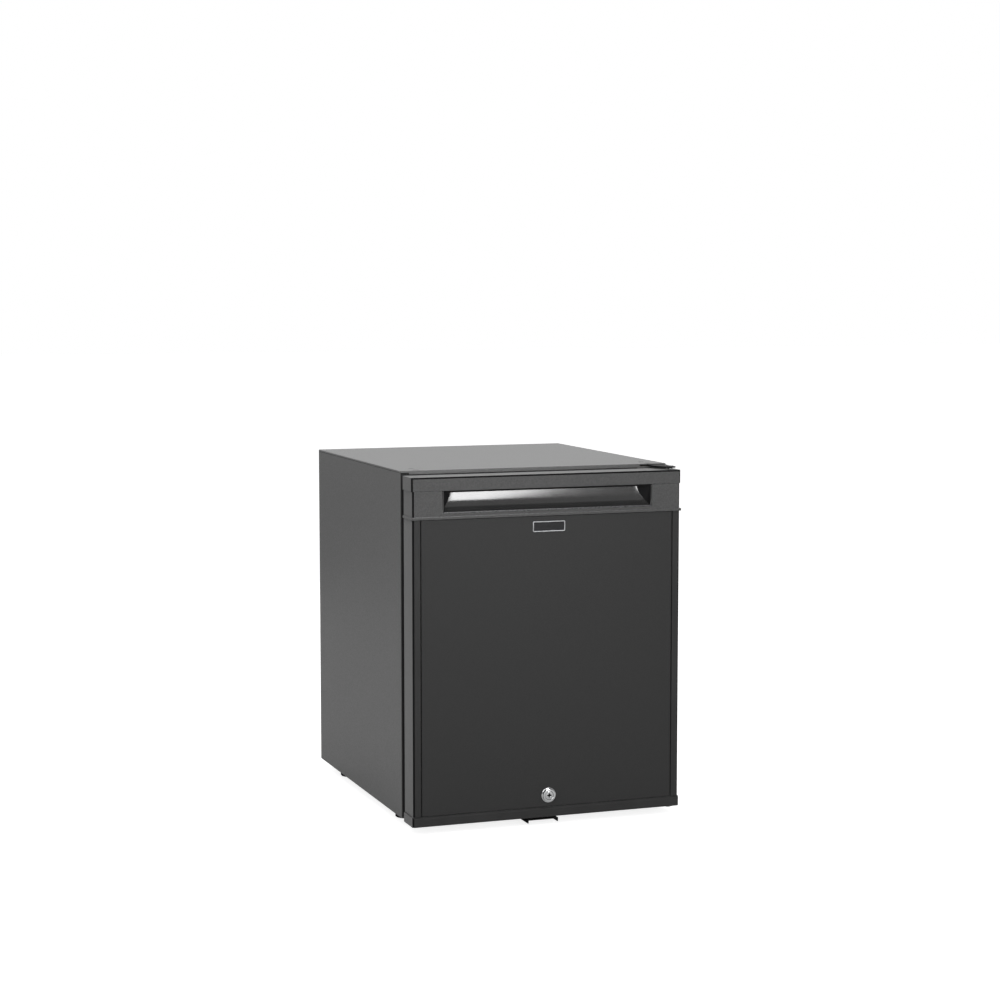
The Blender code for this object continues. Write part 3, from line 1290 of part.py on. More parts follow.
def unit_brackets(boiler_low, boiler_top, first_run, vessel_z, condenser_right):
    """Strap round the boiler, and two upright plates that carry the condenser, the coil and the vessel."""
    wall = Y_PANEL + GAP
    inner = BOILER_RADIUS + HOLD_CLEARANCE
    outer = inner + STRAP_SHEET
    foot = outer + STRAP_FOOT
    flat = wall + STRAP_SHEET
    outline = [(X_BOILER + foot, wall), (X_BOILER + foot, flat), (X_BOILER + outer, flat)]
    outline += arc((X_BOILER, Y_UNIT), outer, 0, 180, 12)
    outline += [(X_BOILER - outer, flat), (X_BOILER - foot, flat)]
    outline += [(X_BOILER - foot, wall), (X_BOILER - inner, wall)]
    outline += arc((X_BOILER, Y_UNIT), inner, 180, 0, 12) + [(X_BOILER + inner, wall)]
    middle = (boiler_low + boiler_top) / 2
    add_part("boiler_strap", prism(outline, "z", middle - STRAP_WIDTH / 2, middle + STRAP_WIDTH / 2), "zinc")

    for x, label in zip(BRACKET_XS, ("left", "right")):
        hold = RECTIFIER_RADIUS + HOLD_CLEARANCE
        z = Z_CONDENSER - CONDENSER_FALL * (condenser_right - x) / (condenser_right + CONDENSER_LEFT)
        lip = Y_UNIT + hold + BRACKET_LIP
        outline = [(wall, z + hold), (Y_UNIT - hold, z + hold)] + arc((Y_UNIT, z), hold, 180, 360, 8)
        outline += [(lip, z), (lip, z - hold - BRACKET_LIP), (wall + BRACKET_SPINE, z - hold - BRACKET_LIP)]
        notch = TUBE_RADIUS + HOLD_CLEARANCE
        lip = Y_UNIT + BRACKET_LIP / 2
        outline += [(wall + BRACKET_SPINE, first_run + COIL_PITCH / 3), (lip, first_run + COIL_PITCH / 3)]
        for run in range(COIL_RUNS):
            level = first_run - run * COIL_PITCH
            bow = arc((Y_UNIT, level), notch, 90, 270, 8)
            outline += [(lip, level + notch)] + bow + [(lip, level - notch)]
        low_run = first_run - (COIL_RUNS - 1) * COIL_PITCH - COIL_PITCH / 3
        hold = VESSEL_RADIUS + HOLD_CLEARANCE
        outline += [(lip, low_run), (wall + BRACKET_SPINE, low_run), (wall + BRACKET_SPINE, vessel_z + hold)]
        outline += [(Y_UNIT + turn_y, vessel_z + turn_z) for turn_y, turn_z in
                    [(-hold, hold / 2)] + arc((0, 0), hold, 180, 330, 8)]
        under = vessel_z - hold - BRACKET_LIP
        outline += [(Y_UNIT + hold, under), (wall, under)]
        add_part("unit_bracket_" + label, prism(outline, "x", x, x + BRACKET_SHEET), "zinc")


def electrics():
    """Terminal box with the mains inlet, and the lead to the boiler's heater."""
    right = X_SIDE - SHEET - GAP - BOX_INSET
    left = right - BOX_WIDTH
    wall = Y_PANEL + GAP
    back = wall + BOX_DEPTH
    low = Z_BASE + BOX_BOTTOM
    high = low + BOX_HEIGHT
    shape = block((left, wall, low), (right, back, high))
    chamfer(shape, lambda place: near(place.y, back), BOX_BEVEL)
    box = add_part("control_box", shape, "grey_plastic")
    mid_x = (left + right) / 2
    mid_z = low + INLET_HEIGHT / 2 + INLET_RISE
    cut(box, block((left + BOX_WALL, wall - OVERSHOOT, low + BOX_WALL),
                   (right - BOX_WALL, back - BOX_WALL, high - BOX_WALL)))
    half_x = INLET_WIDTH / 2
    half_z = INLET_HEIGHT / 2
    cut(box, block((mid_x - half_x - GAP, back - 2 * BOX_WALL, mid_z - half_z - GAP),
                   (mid_x + half_x + GAP, back + OVERSHOOT, mid_z + half_z + GAP)))
    start = back - INLET_DEPTH
    shape = block((mid_x - half_x, start, mid_z - half_z),
                  (mid_x + half_x, back + INLET_PROUD, mid_z + half_z))
    inlet = add_part("mains_inlet", shape, "dark_moulding")
    lip_x = half_x + INLET_FLANGE
    lip_z = half_z + INLET_FLANGE
    join(inlet, block((mid_x - lip_x, back + GAP, mid_z - lip_z),
                      (mid_x + lip_x, back + INLET_FLANGE, mid_z + lip_z)))
    rim = INLET_RIM
    cut(inlet, block((mid_x - half_x + rim, start + rim, mid_z - half_z + rim),
                     (mid_x + half_x - rim, back + OVERSHOOT, mid_z + half_z - rim)))
    for offset_x, offset_z in PRONG_PLACES:
        x = mid_x + offset_x
        z = mid_z + offset_z
        join(inlet, block((x - PRONG_HALF, start + rim / 2, z - PRONG_REACH),
                          (x + PRONG_HALF, back - PRONG_SINK, z + PRONG_REACH)))

    y = Y_UNIT - LEAD_OFFSET
    level = high + LEAD_RISE
    end_x = X_BOILER + math.sqrt(BOILER_RADIUS ** 2 - (LEAD_OFFSET - LEAD_RADIUS) ** 2) + 2 * GAP
    corners = [(mid_x, y, high + GAP), (mid_x, y, level), (end_x, y, level)]
    add_part("heater_lead", tube(rounded(corners, LEAD_OFFSET), LEAD_RADIUS), "black_rubber")


def condensate_tray():
    """Tray on the base pan that catches the water from the drain."""
    low = Z_BASE + SHEET + GAP
    front = Y_PANEL + CUP_SETBACK
    back = front + CUP_DEPTH
    shape = block((-CUP_LEFT, front, low), (CUP_RIGHT, back, low + CUP_HEIGHT))
    tray = add_part("condensate_tray", shape, "dark_moulding")
    cut(tray, block((-CUP_LEFT + CUP_WALL, front + CUP_WALL, low + CUP_WALL),
                    (CUP_RIGHT - CUP_WALL, back - CUP_WALL, low + CUP_HEIGHT + OVERSHOOT)))


def build():
    """Empty the scene and make every part of the fridge."""
    for thing in list(bpy.data.objects):
        bpy.data.objects.remove(thing, do_unlink=True)
    cabinet_shell()
    cabinet_lining()
    feet()
    hinges()
    strike()
    door = door_mouldings() + side_profiles() + door_front() + scoop() + door_core() + door_racks() + bushes()
    fixed, turning = lock()
    door_axis = add_axis("door_axis", (X_HINGE, Y_HINGE, Z_DOOR))
    hang(door_axis, door + fixed)
    lock_axis = add_axis("lock_axis", (0, Y_DOOR, Z_LOCK), door_axis)
    hang(lock_axis, turning)
    door_switch()
    shelves()
    evaporator()
    drip_tray()
    thermostat()
    cooling_unit()
    electrics()
    condensate_tray()


build()
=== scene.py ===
"""Minibar fridge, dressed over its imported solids.

The file is laid out as an add-on: one operator for each group of pieces and one for the stage, a panel
that lists them, and sizes and colours that a user may change. It is run as a script.
"""
import json
import math

import bmesh
import bpy
from bpy.types import NodeSocket, Operator, Panel, PropertyGroup
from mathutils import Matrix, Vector


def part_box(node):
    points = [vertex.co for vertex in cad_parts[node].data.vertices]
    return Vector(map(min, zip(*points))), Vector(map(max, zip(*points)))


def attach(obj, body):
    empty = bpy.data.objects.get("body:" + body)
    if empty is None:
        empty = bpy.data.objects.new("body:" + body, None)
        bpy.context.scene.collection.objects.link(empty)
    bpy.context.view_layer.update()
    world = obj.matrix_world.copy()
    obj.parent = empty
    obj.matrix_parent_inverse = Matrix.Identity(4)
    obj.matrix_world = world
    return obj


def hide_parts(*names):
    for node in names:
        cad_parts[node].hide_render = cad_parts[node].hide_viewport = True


bl_info = {
    "name": "Minibar fridge",
    "version": (1, 0, 0),
    "blender": (4, 5, 0),
    "location": "3D View > Sidebar > Minibar",
    "description": "Models and finishes the pieces of a small hotel-room fridge",
    "category": "Add Mesh",
}

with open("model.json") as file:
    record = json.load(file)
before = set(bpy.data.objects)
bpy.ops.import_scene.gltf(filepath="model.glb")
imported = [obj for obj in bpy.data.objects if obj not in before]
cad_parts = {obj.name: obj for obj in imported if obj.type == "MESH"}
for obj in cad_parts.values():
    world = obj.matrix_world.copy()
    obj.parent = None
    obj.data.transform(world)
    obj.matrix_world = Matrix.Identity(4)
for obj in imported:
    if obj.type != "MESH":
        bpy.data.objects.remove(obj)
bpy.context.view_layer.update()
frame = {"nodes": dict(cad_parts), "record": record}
MM = 0.001
REARWARD = (0, 1, 0)
UPWARD = (0, 0, 1)
# Where most of a texture's values lie, so that they spread over the whole of a Map Range
TEXTURE_RANGE = {"From Min": 0.3, "From Max": 0.7}


def linear(code):
    """Linear RGB of an sRGB hex colour."""
    parts = [int(code[index:index + 2], 16) / 255 for index in (1, 3, 5)]
    return [part / 12.92 if part <= 0.04045 else ((part + 0.055) / 1.055) ** 2.4 for part in parts]


def feed(tree, node, inputs):
    """Give a node's inputs their values, or link them to other nodes' sockets."""
    for socket, value in inputs.items():
        if isinstance(value, NodeSocket):
            tree.links.new(value, node.inputs[socket])
        else:
            node.inputs[socket].default_value = value


def add_node(tree, kind, inputs=None, **settings):
    """Add a node with its settings; each input is a value or another node's socket."""
    node = tree.nodes.new("ShaderNode" + kind)
    for name, value in settings.items():
        setattr(node, name, value)
    feed(tree, node, inputs or {})
    return node


def coat(slot, tone, deep, roughness, broad, fine, kinds=("Noise", "Noise"), stretch=((1, 1, 1), (1, 1, 1)),
         **more):
    """What a finish is made of.

    slot: the record's slot, which is not used. tone and deep: its sRGB colour, and how dark its patches are
    beside that.
    roughness: from and to. broad: size in mm of the pattern that mixes the tones. fine: size and depth in mm
    of the relief. kinds and stretch: the texture of each pattern, and how far it is drawn out. more: values
    of the shader that aren't the usual ones.
    """
    return dict(more, slot=slot, tone=tone, deep=deep, roughness=roughness, broad=broad, fine=fine,
                kinds=kinds, stretch=stretch)


FINISHES = {
    # Powder-coated sheet steel: a close satin skin with faint orange peel, a little paler where it is thick
    "powder_coated_steel": coat("painted_steel", "#515151", 0.84, (0.31, 0.43), 2.4, (1.6, 0.014),
                                specular=0.62),
    # Moulded ABS, spark-eroded in the tool: an even dull grain that lifts the highlights off
    "grained_abs": coat("dark_moulding", "#444444", 0.66, (0.4, 0.54), 1.8, (0.9, 0.02), specular=0.3,
                        sheen=0.18),
    # Extruded ABS of the strips and the rail: the same plastic drawn through a die, darker and more even
    "extruded_abs": coat("dark_moulding", "#282828", 0.8, (0.36, 0.46), 30, (0.8, 0.008),
                         stretch=((1, 1, 0.3), (1, 1, 0.3)), specular=0.15, sheen=0.32),
    # Textured film on the door's sheet: drawn coarser than its 0.3 mm grain so that it shows
    "textured_door_sheet": coat("door_panel", "#2E2E2E", 0.6, (0.4, 0.6), 0.9, (0.8, 0.02), specular=0.22),
    # Painted shade: matt near-black laid on chamfers, creases, keyways and gaps, so that they read as dark
    # lines
    "recessed_edge": coat("gloss_black", "#0C0C0D", 0.8, (0.6, 0.7), 20, (0.8, 0.01), specular=0.1),
    # Black enamel in the plate's field: smooth, without a mirror's depth
    "plate_enamel": coat("gloss_black", "#222224", 0.8, (0.3, 0.36), 6, (1, 0.004), specular=0.12),
    # Satin nickel of the plate's rim: soft pale metal
    "satin_nickel": coat("chrome", "#9C9D9F", 0.8, (0.35, 0.45), 4, (0.6, 0.006), metallic=1),
    # Gloss ABS, polished in the tool: mirrors the room with soft edges
    "gloss_abs": coat("gloss_black", "#303030", 0.9, (0.13, 0.15), 30, (20, 0.001), specular=1.0, ior=1.62),
    # The grip's end walls: matt as moulded, and darker than the polished hollow as painted shade, for they
    # lie in shadow
    "matt_abs": coat("gloss_black", "#1A1A1B", 0.85, (0.5, 0.6), 20, (0.8, 0.008), specular=0.15),
    # Satin ABS of the grip's lower lip, rubbed by hands: a broad soft highlight; on the band's bead only its
    # upward faces take it, as a painted highlight
    "satin_abs": coat("gloss_black", "#343436", 0.85, (0.25, 0.32), 20, (2, 0.004), specular=1.0),
    # Black electro-coated steel: thin and even, with rubbed tone
    "black_coated_steel": coat("black_steel", "#131314", 0.7, (0.45, 0.6), 9, (0.6, 0.01), specular=0.15),
    # Extruded soft PVC of the gasket: matt, with a faint draw along its length
    "soft_pvc": coat("black_rubber", "#141415", 0.75, (0.6, 0.75), 20, (1.2, 0.01), specular=0.4),
    # Moulded rubber of the feet: dusty black
    "moulded_rubber": coat("black_rubber", "#1A1918", 0.6, (0.75, 0.9), 6, (0.8, 0.03), specular=0.3),
    # Chromium on cast zinc: clear mirror with the faint ripple of polishing
    "chrome_plate": coat("chrome", "#E2E3E4", 0.85, (0.1, 0.18), 6, (2.5, 0.004), metallic=1),
    # Zinc plate, blue passivated: a soft grey mirror with cloudy patches
    "zinc_plate": coat("zinc", "#A8A9AB", 0.7, (0.3, 0.45), 5, (0.7, 0.006), metallic=1),
    # Hot-dip galvanised sheet: spangles of slightly different grey
    "galvanised_sheet": coat("zinc", "#A6A8AA", 0.74, (0.34, 0.5), 7, (1.5, 0.008),
                             kinds=("Voronoi", "Noise"), metallic=1),
    # Vacuum-formed polystyrene: milky gloss skin, hardly any grain
    "formed_polystyrene": coat("white_plastic", "#E4E4E2", 0.94, (0.26, 0.36), 80, (3, 0.012)),
    # Epoxy-coated wire: thick white skin, glossy at the bends
    "coated_wire": coat("white_plastic", "#E2E2E1", 0.92, (0.25, 0.35), 20, (2, 0.01)),
    # Translucent polystyrene of the lamp cover: frosted, warm white
    "frosted_lens": coat("white_plastic", "#EFEDE2", 0.93, (0.3, 0.4), 15, (1, 0.01)),
    # Blown polyurethane foam: straw-coloured cells
    "blown_foam": coat("foam", "#DACA9E", 0.8, (0.8, 0.95), 12, (1.6, 0.2), kinds=("Noise", "Voronoi"),
                       specular=0.2),
    # Mill-finish aluminium plate: drawn along its length
    "mill_aluminium": coat("aluminium", "#C4C5C7", 0.8, (0.3, 0.45), 12, (0.6, 0.006),
                           stretch=((0.15, 1, 1), (0.05, 1, 1)), metallic=1),
    # Black stove enamel on steel tube: satin with dusty patches
    "enamelled_tube": coat("black_tube", "#202021", 0.6, (0.38, 0.55), 14, (1, 0.015)),
    # Moulded polyamide of the switch box and bearings: fine matt grey grain
    "moulded_polyamide": coat("grey_plastic", "#646568", 0.88, (0.45, 0.6), 20, (0.7, 0.012), specular=0.4),
    # Ink printed with a soft pad: flat dark grey, a little uneven
    "pad_print": coat("black_rubber", "#34363A", 0.8, (0.5, 0.6), 2, (0.5, 0.004), specular=0.3),
    # Woven glass sleeve on the heater lead: a dark weave about a millimetre across
    "glass_sleeve": coat("black_rubber", "#2A2928", 0.5, (0.65, 0.8), 1.2, (1.2, 0.06),
                         kinds=("Voronoi", "Voronoi"), stretch=((1, 1, 0.5), (1, 1, 0.5)), specular=0.3),
}

# The finish of each solid, which the piece that stands for it takes too
WORN_BY = {
    "powder_coated_steel": "cabinet_wrap base_pan",
    "grained_abs": "door_top_cap handle_band door_hole_plug spare_hole_insert mains_inlet condensate_tray",
    "extruded_abs": "side_profile_left side_profile_right bottom_rail",
    "textured_door_sheet": "front_panel",
    "gloss_abs": "handle_scoop front_plate",
    "black_coated_steel": "top_hinge_plate bottom_hinge_plate lock_strike",
    "soft_pvc": "door_gasket",
    "moulded_rubber": "foot_front_left foot_front_right foot_rear_left foot_rear_right",
    "chrome_plate": "lock_body lock_cylinder",
    "zinc_plate": "lock_nut lock_cam top_hinge_pin bottom_hinge_pin hinge_screw_front hinge_screw_rear "
                  "boiler_strap unit_bracket_left unit_bracket_right",
    "galvanised_sheet": "rear_panel boiler",
    "formed_polystyrene": "cabinet_liner door_liner door_rack_lower door_rack_middle door_rack_upper "
                          "drip_tray thermostat_housing thermostat_knob door_switch_body "
                          "door_switch_plunger",
    "coated_wire": "shelf_lower shelf_upper",
    "frosted_lens": "lamp_lens",
    "blown_foam": "cabinet_insulation door_insulation",
    "mill_aluminium": "evaporator_fins",
    "enamelled_tube": "absorber_coil absorber_vessel condenser evaporator_tube",
    "moulded_polyamide": "control_box top_hinge_bush bottom_hinge_bush drain_tube",
    "glass_sleeve": "heater_lead",
}
FINISH_OF = {node: finish for finish, nodes in WORN_BY.items() for node in nodes.split()}
BODY_OF = {node: body for body, nodes in frame["record"]["behaviour"]["bodies"].items() for node in nodes}


def pattern(tree, place, kind, size, stretch):
    """Texture whose features are about size mm across, stretched along the axes."""
    spread = add_node(tree, "Mapping", {"Vector": place, "Scale": [1000 * part / size for part in stretch]})
    texture = add_node(tree, "Tex" + kind, {"Vector": spread.outputs[0], "Scale": 1.0})
    return texture.outputs["Color" if kind == "Voronoi" else 0], texture.outputs[0]


def finish(name):
    """Material of a finish, made on first use."""
    if name in bpy.data.materials:
        return bpy.data.materials[name]
    spec = FINISHES[name]
    tone = list(getattr(bpy.context.scene.minibar_colours, name, linear(spec["tone"])))
    deep = [part * spec["deep"] for part in tone]
    made = bpy.data.materials.new(name)
    made.use_nodes = True
    tree = made.node_tree
    place = add_node(tree, "TexCoord").outputs["Object"]
    kinds, stretch = spec["kinds"], spec["stretch"]
    size, depth = spec["fine"]
    patches = pattern(tree, place, kinds[0], spec["broad"], stretch[0])[0]
    grain = pattern(tree, place, kinds[1], size, stretch[1])[1]
    share = add_node(tree, "MapRange", {"Value": patches, **TEXTURE_RANGE})
    mix = add_node(tree, "Mix", {0: share.outputs[0], 6: (*deep, 1), 7: (*tone, 1)}, data_type="RGBA")
    smooth, rough = spec["roughness"]
    gloss = add_node(tree, "MapRange", {"Value": grain, **TEXTURE_RANGE, "To Min": smooth, "To Max": rough})
    bump = add_node(tree, "Bump", {"Height": grain, "Distance": depth * MM})
    feed(tree, tree.nodes["Principled BSDF"], {
        "Base Color": mix.outputs[2], "Roughness": gloss.outputs[0], "Normal": bump.outputs[0],
        "Metallic": spec.get("metallic", 0), "IOR": spec.get("ior", 1.5),
        "Specular IOR Level": spec.get("specular", 0.5), "Sheen Weight": spec.get("sheen", 0)})
    return made


def activate(piece):
    """Make one piece the only one that operators act on."""
    if bpy.context.mode != "OBJECT":
        bpy.ops.object.mode_set(mode="OBJECT")
    bpy.ops.object.select_all(action="DESELECT")
    piece.select_set(True)
    bpy.context.view_layer.objects.active = piece


def modify(piece, kind, **settings):
    """Add a modifier with its settings and apply it."""
    activate(piece)
    modifier = piece.modifiers.new(kind, kind)
    for name, value in settings.items():
        setattr(modifier, name, value)
    bpy.ops.object.modifier_apply(modifier=modifier.name)
    return piece


def select(piece, kind, test):
    """Go into edit mode with the faces, edges or points for which the test is true."""
    activate(piece)
    bpy.ops.object.mode_set(mode="EDIT")
    bpy.ops.mesh.select_mode(type=kind)
    bpy.ops.mesh.select_all(action="DESELECT")
    shape = bmesh.from_edit_mesh(piece.data)
    items = {"FACE": shape.faces, "EDGE": shape.edges, "VERT": shape.verts}[kind]
    chosen = [item for item in items if test(item)]
    if not chosen:
        raise RuntimeError(f"nothing is selected on {piece.name}")
    for item in chosen:
        item.select_set(True)
    shape.select_flush_mode()
    bmesh.update_edit_mesh(piece.data)


def whole(item):
    """Test that every point, edge or face passes."""
    return True


def done():
    """Leave edit mode."""
    bpy.ops.object.mode_set(mode="OBJECT")


def select_whole(piece):
    """Go into edit mode with the whole piece selected."""
    select(piece, "VERT", whole)


def weld(piece, distance=0.002 * MM):
    """Merge the points that coincide, and stay in edit mode with the whole piece selected."""
    select_whole(piece)
    bpy.ops.mesh.remove_doubles(threshold=distance)
    bpy.ops.mesh.select_all(action="SELECT")


def face_out():
    """Turn every face outwards and leave edit mode."""
    bpy.ops.mesh.select_all(action="SELECT")
    bpy.ops.mesh.normals_make_consistent(inside=False)
    done()


def act(piece, kind, test, operator, **settings):
    """Run a mesh operator on the faces, edges or points for which the test is true."""
    select(piece, kind, test)
    operator(**settings)
    done()
    return piece


def slice_at(piece, place, way):
    """Cut new edges into the whole piece where a plane crosses it."""
    act(piece, "VERT", whole, bpy.ops.mesh.bisect, plane_co=place, plane_no=way)


def middle(item):
    """Middle of a face or an edge."""
    return sum((vert.co for vert in item.verts), Vector()) / len(item.verts)


def every(item, test):
    """Whether the test is true at each point of a face or an edge."""
    return all(test(vert.co) for vert in item.verts)


def same(value, target):
    """Whether two lengths agree to within a fiftieth of a millimetre."""
    return abs(value - target) < 0.02 * MM


def centre(node):
    """Middle of a solid's box."""
    low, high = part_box(node)
    return (low + high) / 2


def box(name, low, high):
    """Box between two corners, to be shaped further."""
    low = Vector(low)
    high = Vector(high)
    bpy.ops.mesh.primitive_cube_add(size=1, location=(low + high) / 2)
    piece = bpy.context.object
    piece.scale = high - low
    return settle(piece, name)


def rod(name, start, end, radius, sides):
    """Cylinder between two points, to be shaped further."""
    start = Vector(start)
    end = Vector(end)
    turn = Vector(UPWARD).rotation_difference(end - start).to_euler()
    bpy.ops.mesh.primitive_cone_add(vertices=sides, radius1=radius, radius2=radius, rotation=turn,
                                    depth=(end - start).length, location=(start + end) / 2)
    return settle(bpy.context.object, name)


def settle(piece, name):
    """Name a new piece and put its place into its mesh."""
    piece.name = piece.data.name = name
    activate(piece)
    bpy.ops.object.transform_apply(location=True, rotation=True, scale=True)
    return piece


def bevel(piece, test, width, segments):
    """Round the edges for which the test is true."""
    return act(piece, "EDGE", test, bpy.ops.mesh.bevel, offset=width, segments=segments, affect="EDGES",
               clamp_overlap=True)


def inset(piece, test, width, depth=0.0):
    """Inset the faces for which the test is true, and move them out by depth."""
    return act(piece, "FACE", test, bpy.ops.mesh.inset, thickness=width, depth=depth)


def extrude(piece, test, move):
    """Extrude the faces for which the test is true."""
    return act(piece, "FACE", test, bpy.ops.mesh.extrude_region_move, TRANSFORM_OT_translate={"value": move})


def soften(piece, width, segments=2, angle=40):
    """Round every edge that is sharper than the angle; the width is in mm."""
    return modify(piece, "BEVEL", width=width * MM, segments=segments, limit_method="ANGLE",
                  angle_limit=math.radians(angle), miter_outer="MITER_ARC")


def cut(piece, tool, operation="DIFFERENCE"):
    """Boolean with a second piece, which is then removed."""
    modify(piece, "BOOLEAN", operation=operation, solver="EXACT", object=tool)
    bpy.data.objects.remove(tool)
    return piece


def join(pieces):
    """Join pieces into the first."""
    activate(pieces[0])
    for piece in pieces[1:]:
        piece.select_set(True)
    bpy.ops.object.join()
    return pieces[0]


def twin(piece, move):
    """Copy of a piece with its own mesh, moved."""
    activate(piece)
    bpy.ops.object.duplicate_move(TRANSFORM_OT_translate={"value": move})
    return settle(bpy.context.object, piece.name + "_twin")


def line(name, points):
    """Chain of edges through points, drawn by extruding one point."""
    bpy.ops.mesh.primitive_plane_add(size=MM)
    piece = bpy.context.object
    select_whole(piece)
    bpy.ops.mesh.merge(type="CENTER")
    bpy.ops.transform.translate(value=points[0])
    for before, after in zip(points, points[1:]):
        bpy.ops.mesh.extrude_region_move(
            TRANSFORM_OT_translate={"value": Vector(after) - Vector(before)})
    done()
    return settle(piece, name)


def ring_of(name, corners):
    """Closed chain of edges through corners, left in edit mode."""
    piece = line(name, [*corners, corners[0]])
    weld(piece)
    return piece


def turned(name, profile, base, direction=REARWARD, steps=48):
    """Piece of revolution; profile is a run of (radius, height) points in mm along the direction."""
    piece = line(name, [(radius * MM, 0, height * MM) for radius, height in profile])
    select_whole(piece)
    bpy.ops.mesh.spin(steps=steps, angle=2 * math.pi, center=(0, 0, 0), axis=UPWARD)
    weld(piece)
    face_out()
    piece.rotation_mode = "QUATERNION"
    piece.rotation_quaternion = Vector(UPWARD).rotation_difference(Vector(direction))
    piece.location = base
    return settle(piece, name)


def prism(name, outline, move):
    """Flat outline made a face and extruded."""
    piece = ring_of(name, outline)
    bpy.ops.mesh.edge_face_add()
    bpy.ops.mesh.extrude_region_move(TRANSFORM_OT_translate={"value": move})
    face_out()
    return piece


def hoop(name, corners, radius, bend):
    """Closed ring of wire through corners that are bent to a radius."""
    piece = ring_of(name, corners)
    bpy.ops.mesh.bevel(offset=bend, segments=8, affect="VERTICES")
    done()
    return thicken(piece, name, radius)


def thicken(piece, name, radius):
    """Make a round tube of a chain of edges."""
    activate(piece)
    bpy.ops.object.convert(target="CURVE")
    piece = bpy.context.object
    piece.data.bevel_depth = radius
    piece.data.bevel_resolution = 4
    piece.data.use_fill_caps = True
    bpy.ops.object.convert(target="MESH")
    piece = bpy.context.object
    weld(piece)
    face_out()
    return settle(piece, name)


def pipe(name, points, radius, bend):
    """Round tube through points, its corners bent to a radius."""
    piece = line(name, points)
    ends = (Vector(points[0]), Vector(points[-1]))
    select(piece, "VERT", lambda vert: all((vert.co - end).length > 0.1 * MM for end in ends))
    bpy.ops.mesh.bevel(offset=bend, segments=8, affect="VERTICES")
    done()
    return thicken(piece, name, radius)


def pan_head(place, radius):
    """Domed screw head with a cross recess, facing the rear; the radius is in mm."""
    profile = [(0, 1.9), (radius * 0.5, 1.75), (radius * 0.85, 1.2), (radius, 0.4), (radius, -0.4), (0, -0.4)]
    head = turned("head", profile, place, steps=24)
    long, short, bottom, top = 0.55 * radius, 0.35, 0.9, 3
    for across, up in ((long, short), (short, long)):
        low, high = Vector((-across, bottom, -up)) * MM, Vector((across, top, up)) * MM
        cut(head, box("slot", Vector(place) + low, Vector(place) + high))
    return head


def solid_copy(node, name):
    """Merged copy of a solid, with its flat faces made whole again."""
    mesh = frame["nodes"][node].data.copy()
    piece = bpy.data.objects.new(name, mesh)
    bpy.context.scene.collection.objects.link(piece)
    mesh.name = name
    activate(piece)
    bpy.ops.mesh.customdata_custom_splitnormals_clear()
    weld(piece, 0.005 * MM)
    bpy.ops.mesh.dissolve_limited(angle_limit=math.radians(0.5))
    done()
    return piece


def dress(piece, name, finish_name, body, *nodes, angle=35):
    """Give a finished piece its name, finish and body, and let it stand for the solids it replaces."""
    settle(piece, name)
    bpy.ops.object.shade_smooth_by_angle(angle=math.radians(angle))
    modify(piece, "WEIGHTED_NORMAL", keep_sharp=True)
    piece.data.materials.clear()
    piece.data.materials.append(finish(finish_name))
    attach(piece, body)
    if nodes:
        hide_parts(*nodes)
    return piece


def stand_in(piece, name, node, angle=35):
    """Dress a piece in the finish of the solid that it replaces."""
    return dress(piece, name, FINISH_OF[node], BODY_OF[node], node, angle=angle)


def second(piece, finish_name, test):
    """Give the faces for which the test is true a second finish."""
    piece.data.materials.append(finish(finish_name))
    for face in piece.data.polygons:
        if test(face):
            face.material_index = len(piece.data.materials) - 1


def soft_solid(node, name, width, segments=2, angle=40):
    """Copy of a solid with softened edges; width is in mm."""
    return soften(solid_copy(node, name), width, segments, angle)


def soft_copy(node, name, width, segments=2):
    """Copy of a solid with softened edges, dressed to stand for it; width is in mm."""
    return stand_in(soft_solid(node, name, width, segments), name, node)


def measure(label, about, usual, least, most):
    """Property for a length, with its values in mm."""
    return bpy.props.FloatProperty(name=label, description=about, default=usual * MM, min=least * MM,
                                   max=most * MM, unit="LENGTH")


class MinibarSizes(PropertyGroup):
    """Sizes that shape the visible edges and trims."""
    fold_radius: measure("Fold radius", "Rounding of the cabinet's folded edges", 0.9, 0.2, 0.95)
    moulding_radius: measure("Moulding radius", "Rounding of the door's plastic mouldings", 0.7, 0.1, 1)
    corner_radius: measure("Inside corners", "Rounding where the liner's walls meet", 9, 1, 14)
    plate_corner: measure("Plate corners", "Corner radius of the small bare plate", 1.6, 0.2, 5)


def tint(name, label, about):
    """Colour property whose default is the finish's own tone."""
    return bpy.props.FloatVectorProperty(name=label, description=about, min=0, max=1, size=3, subtype="COLOR",
                                         default=linear(FINISHES[name]["tone"]))


class MinibarColours(PropertyGroup):
    """Colours of the main finishes, each named for its finish."""
    powder_coated_steel: tint("powder_coated_steel", "Cabinet", "Powder coat of the cabinet")
    grained_abs: tint("grained_abs", "Mouldings", "Plastic frame of the door")
    textured_door_sheet: tint("textured_door_sheet", "Door sheet", "Film on the door's front sheet")
    gloss_abs: tint("gloss_abs", "Grip and plate", "Gloss plastic of the grip and the small plate")
    formed_polystyrene: tint("formed_polystyrene", "Inside", "Formed plastic of the inside")


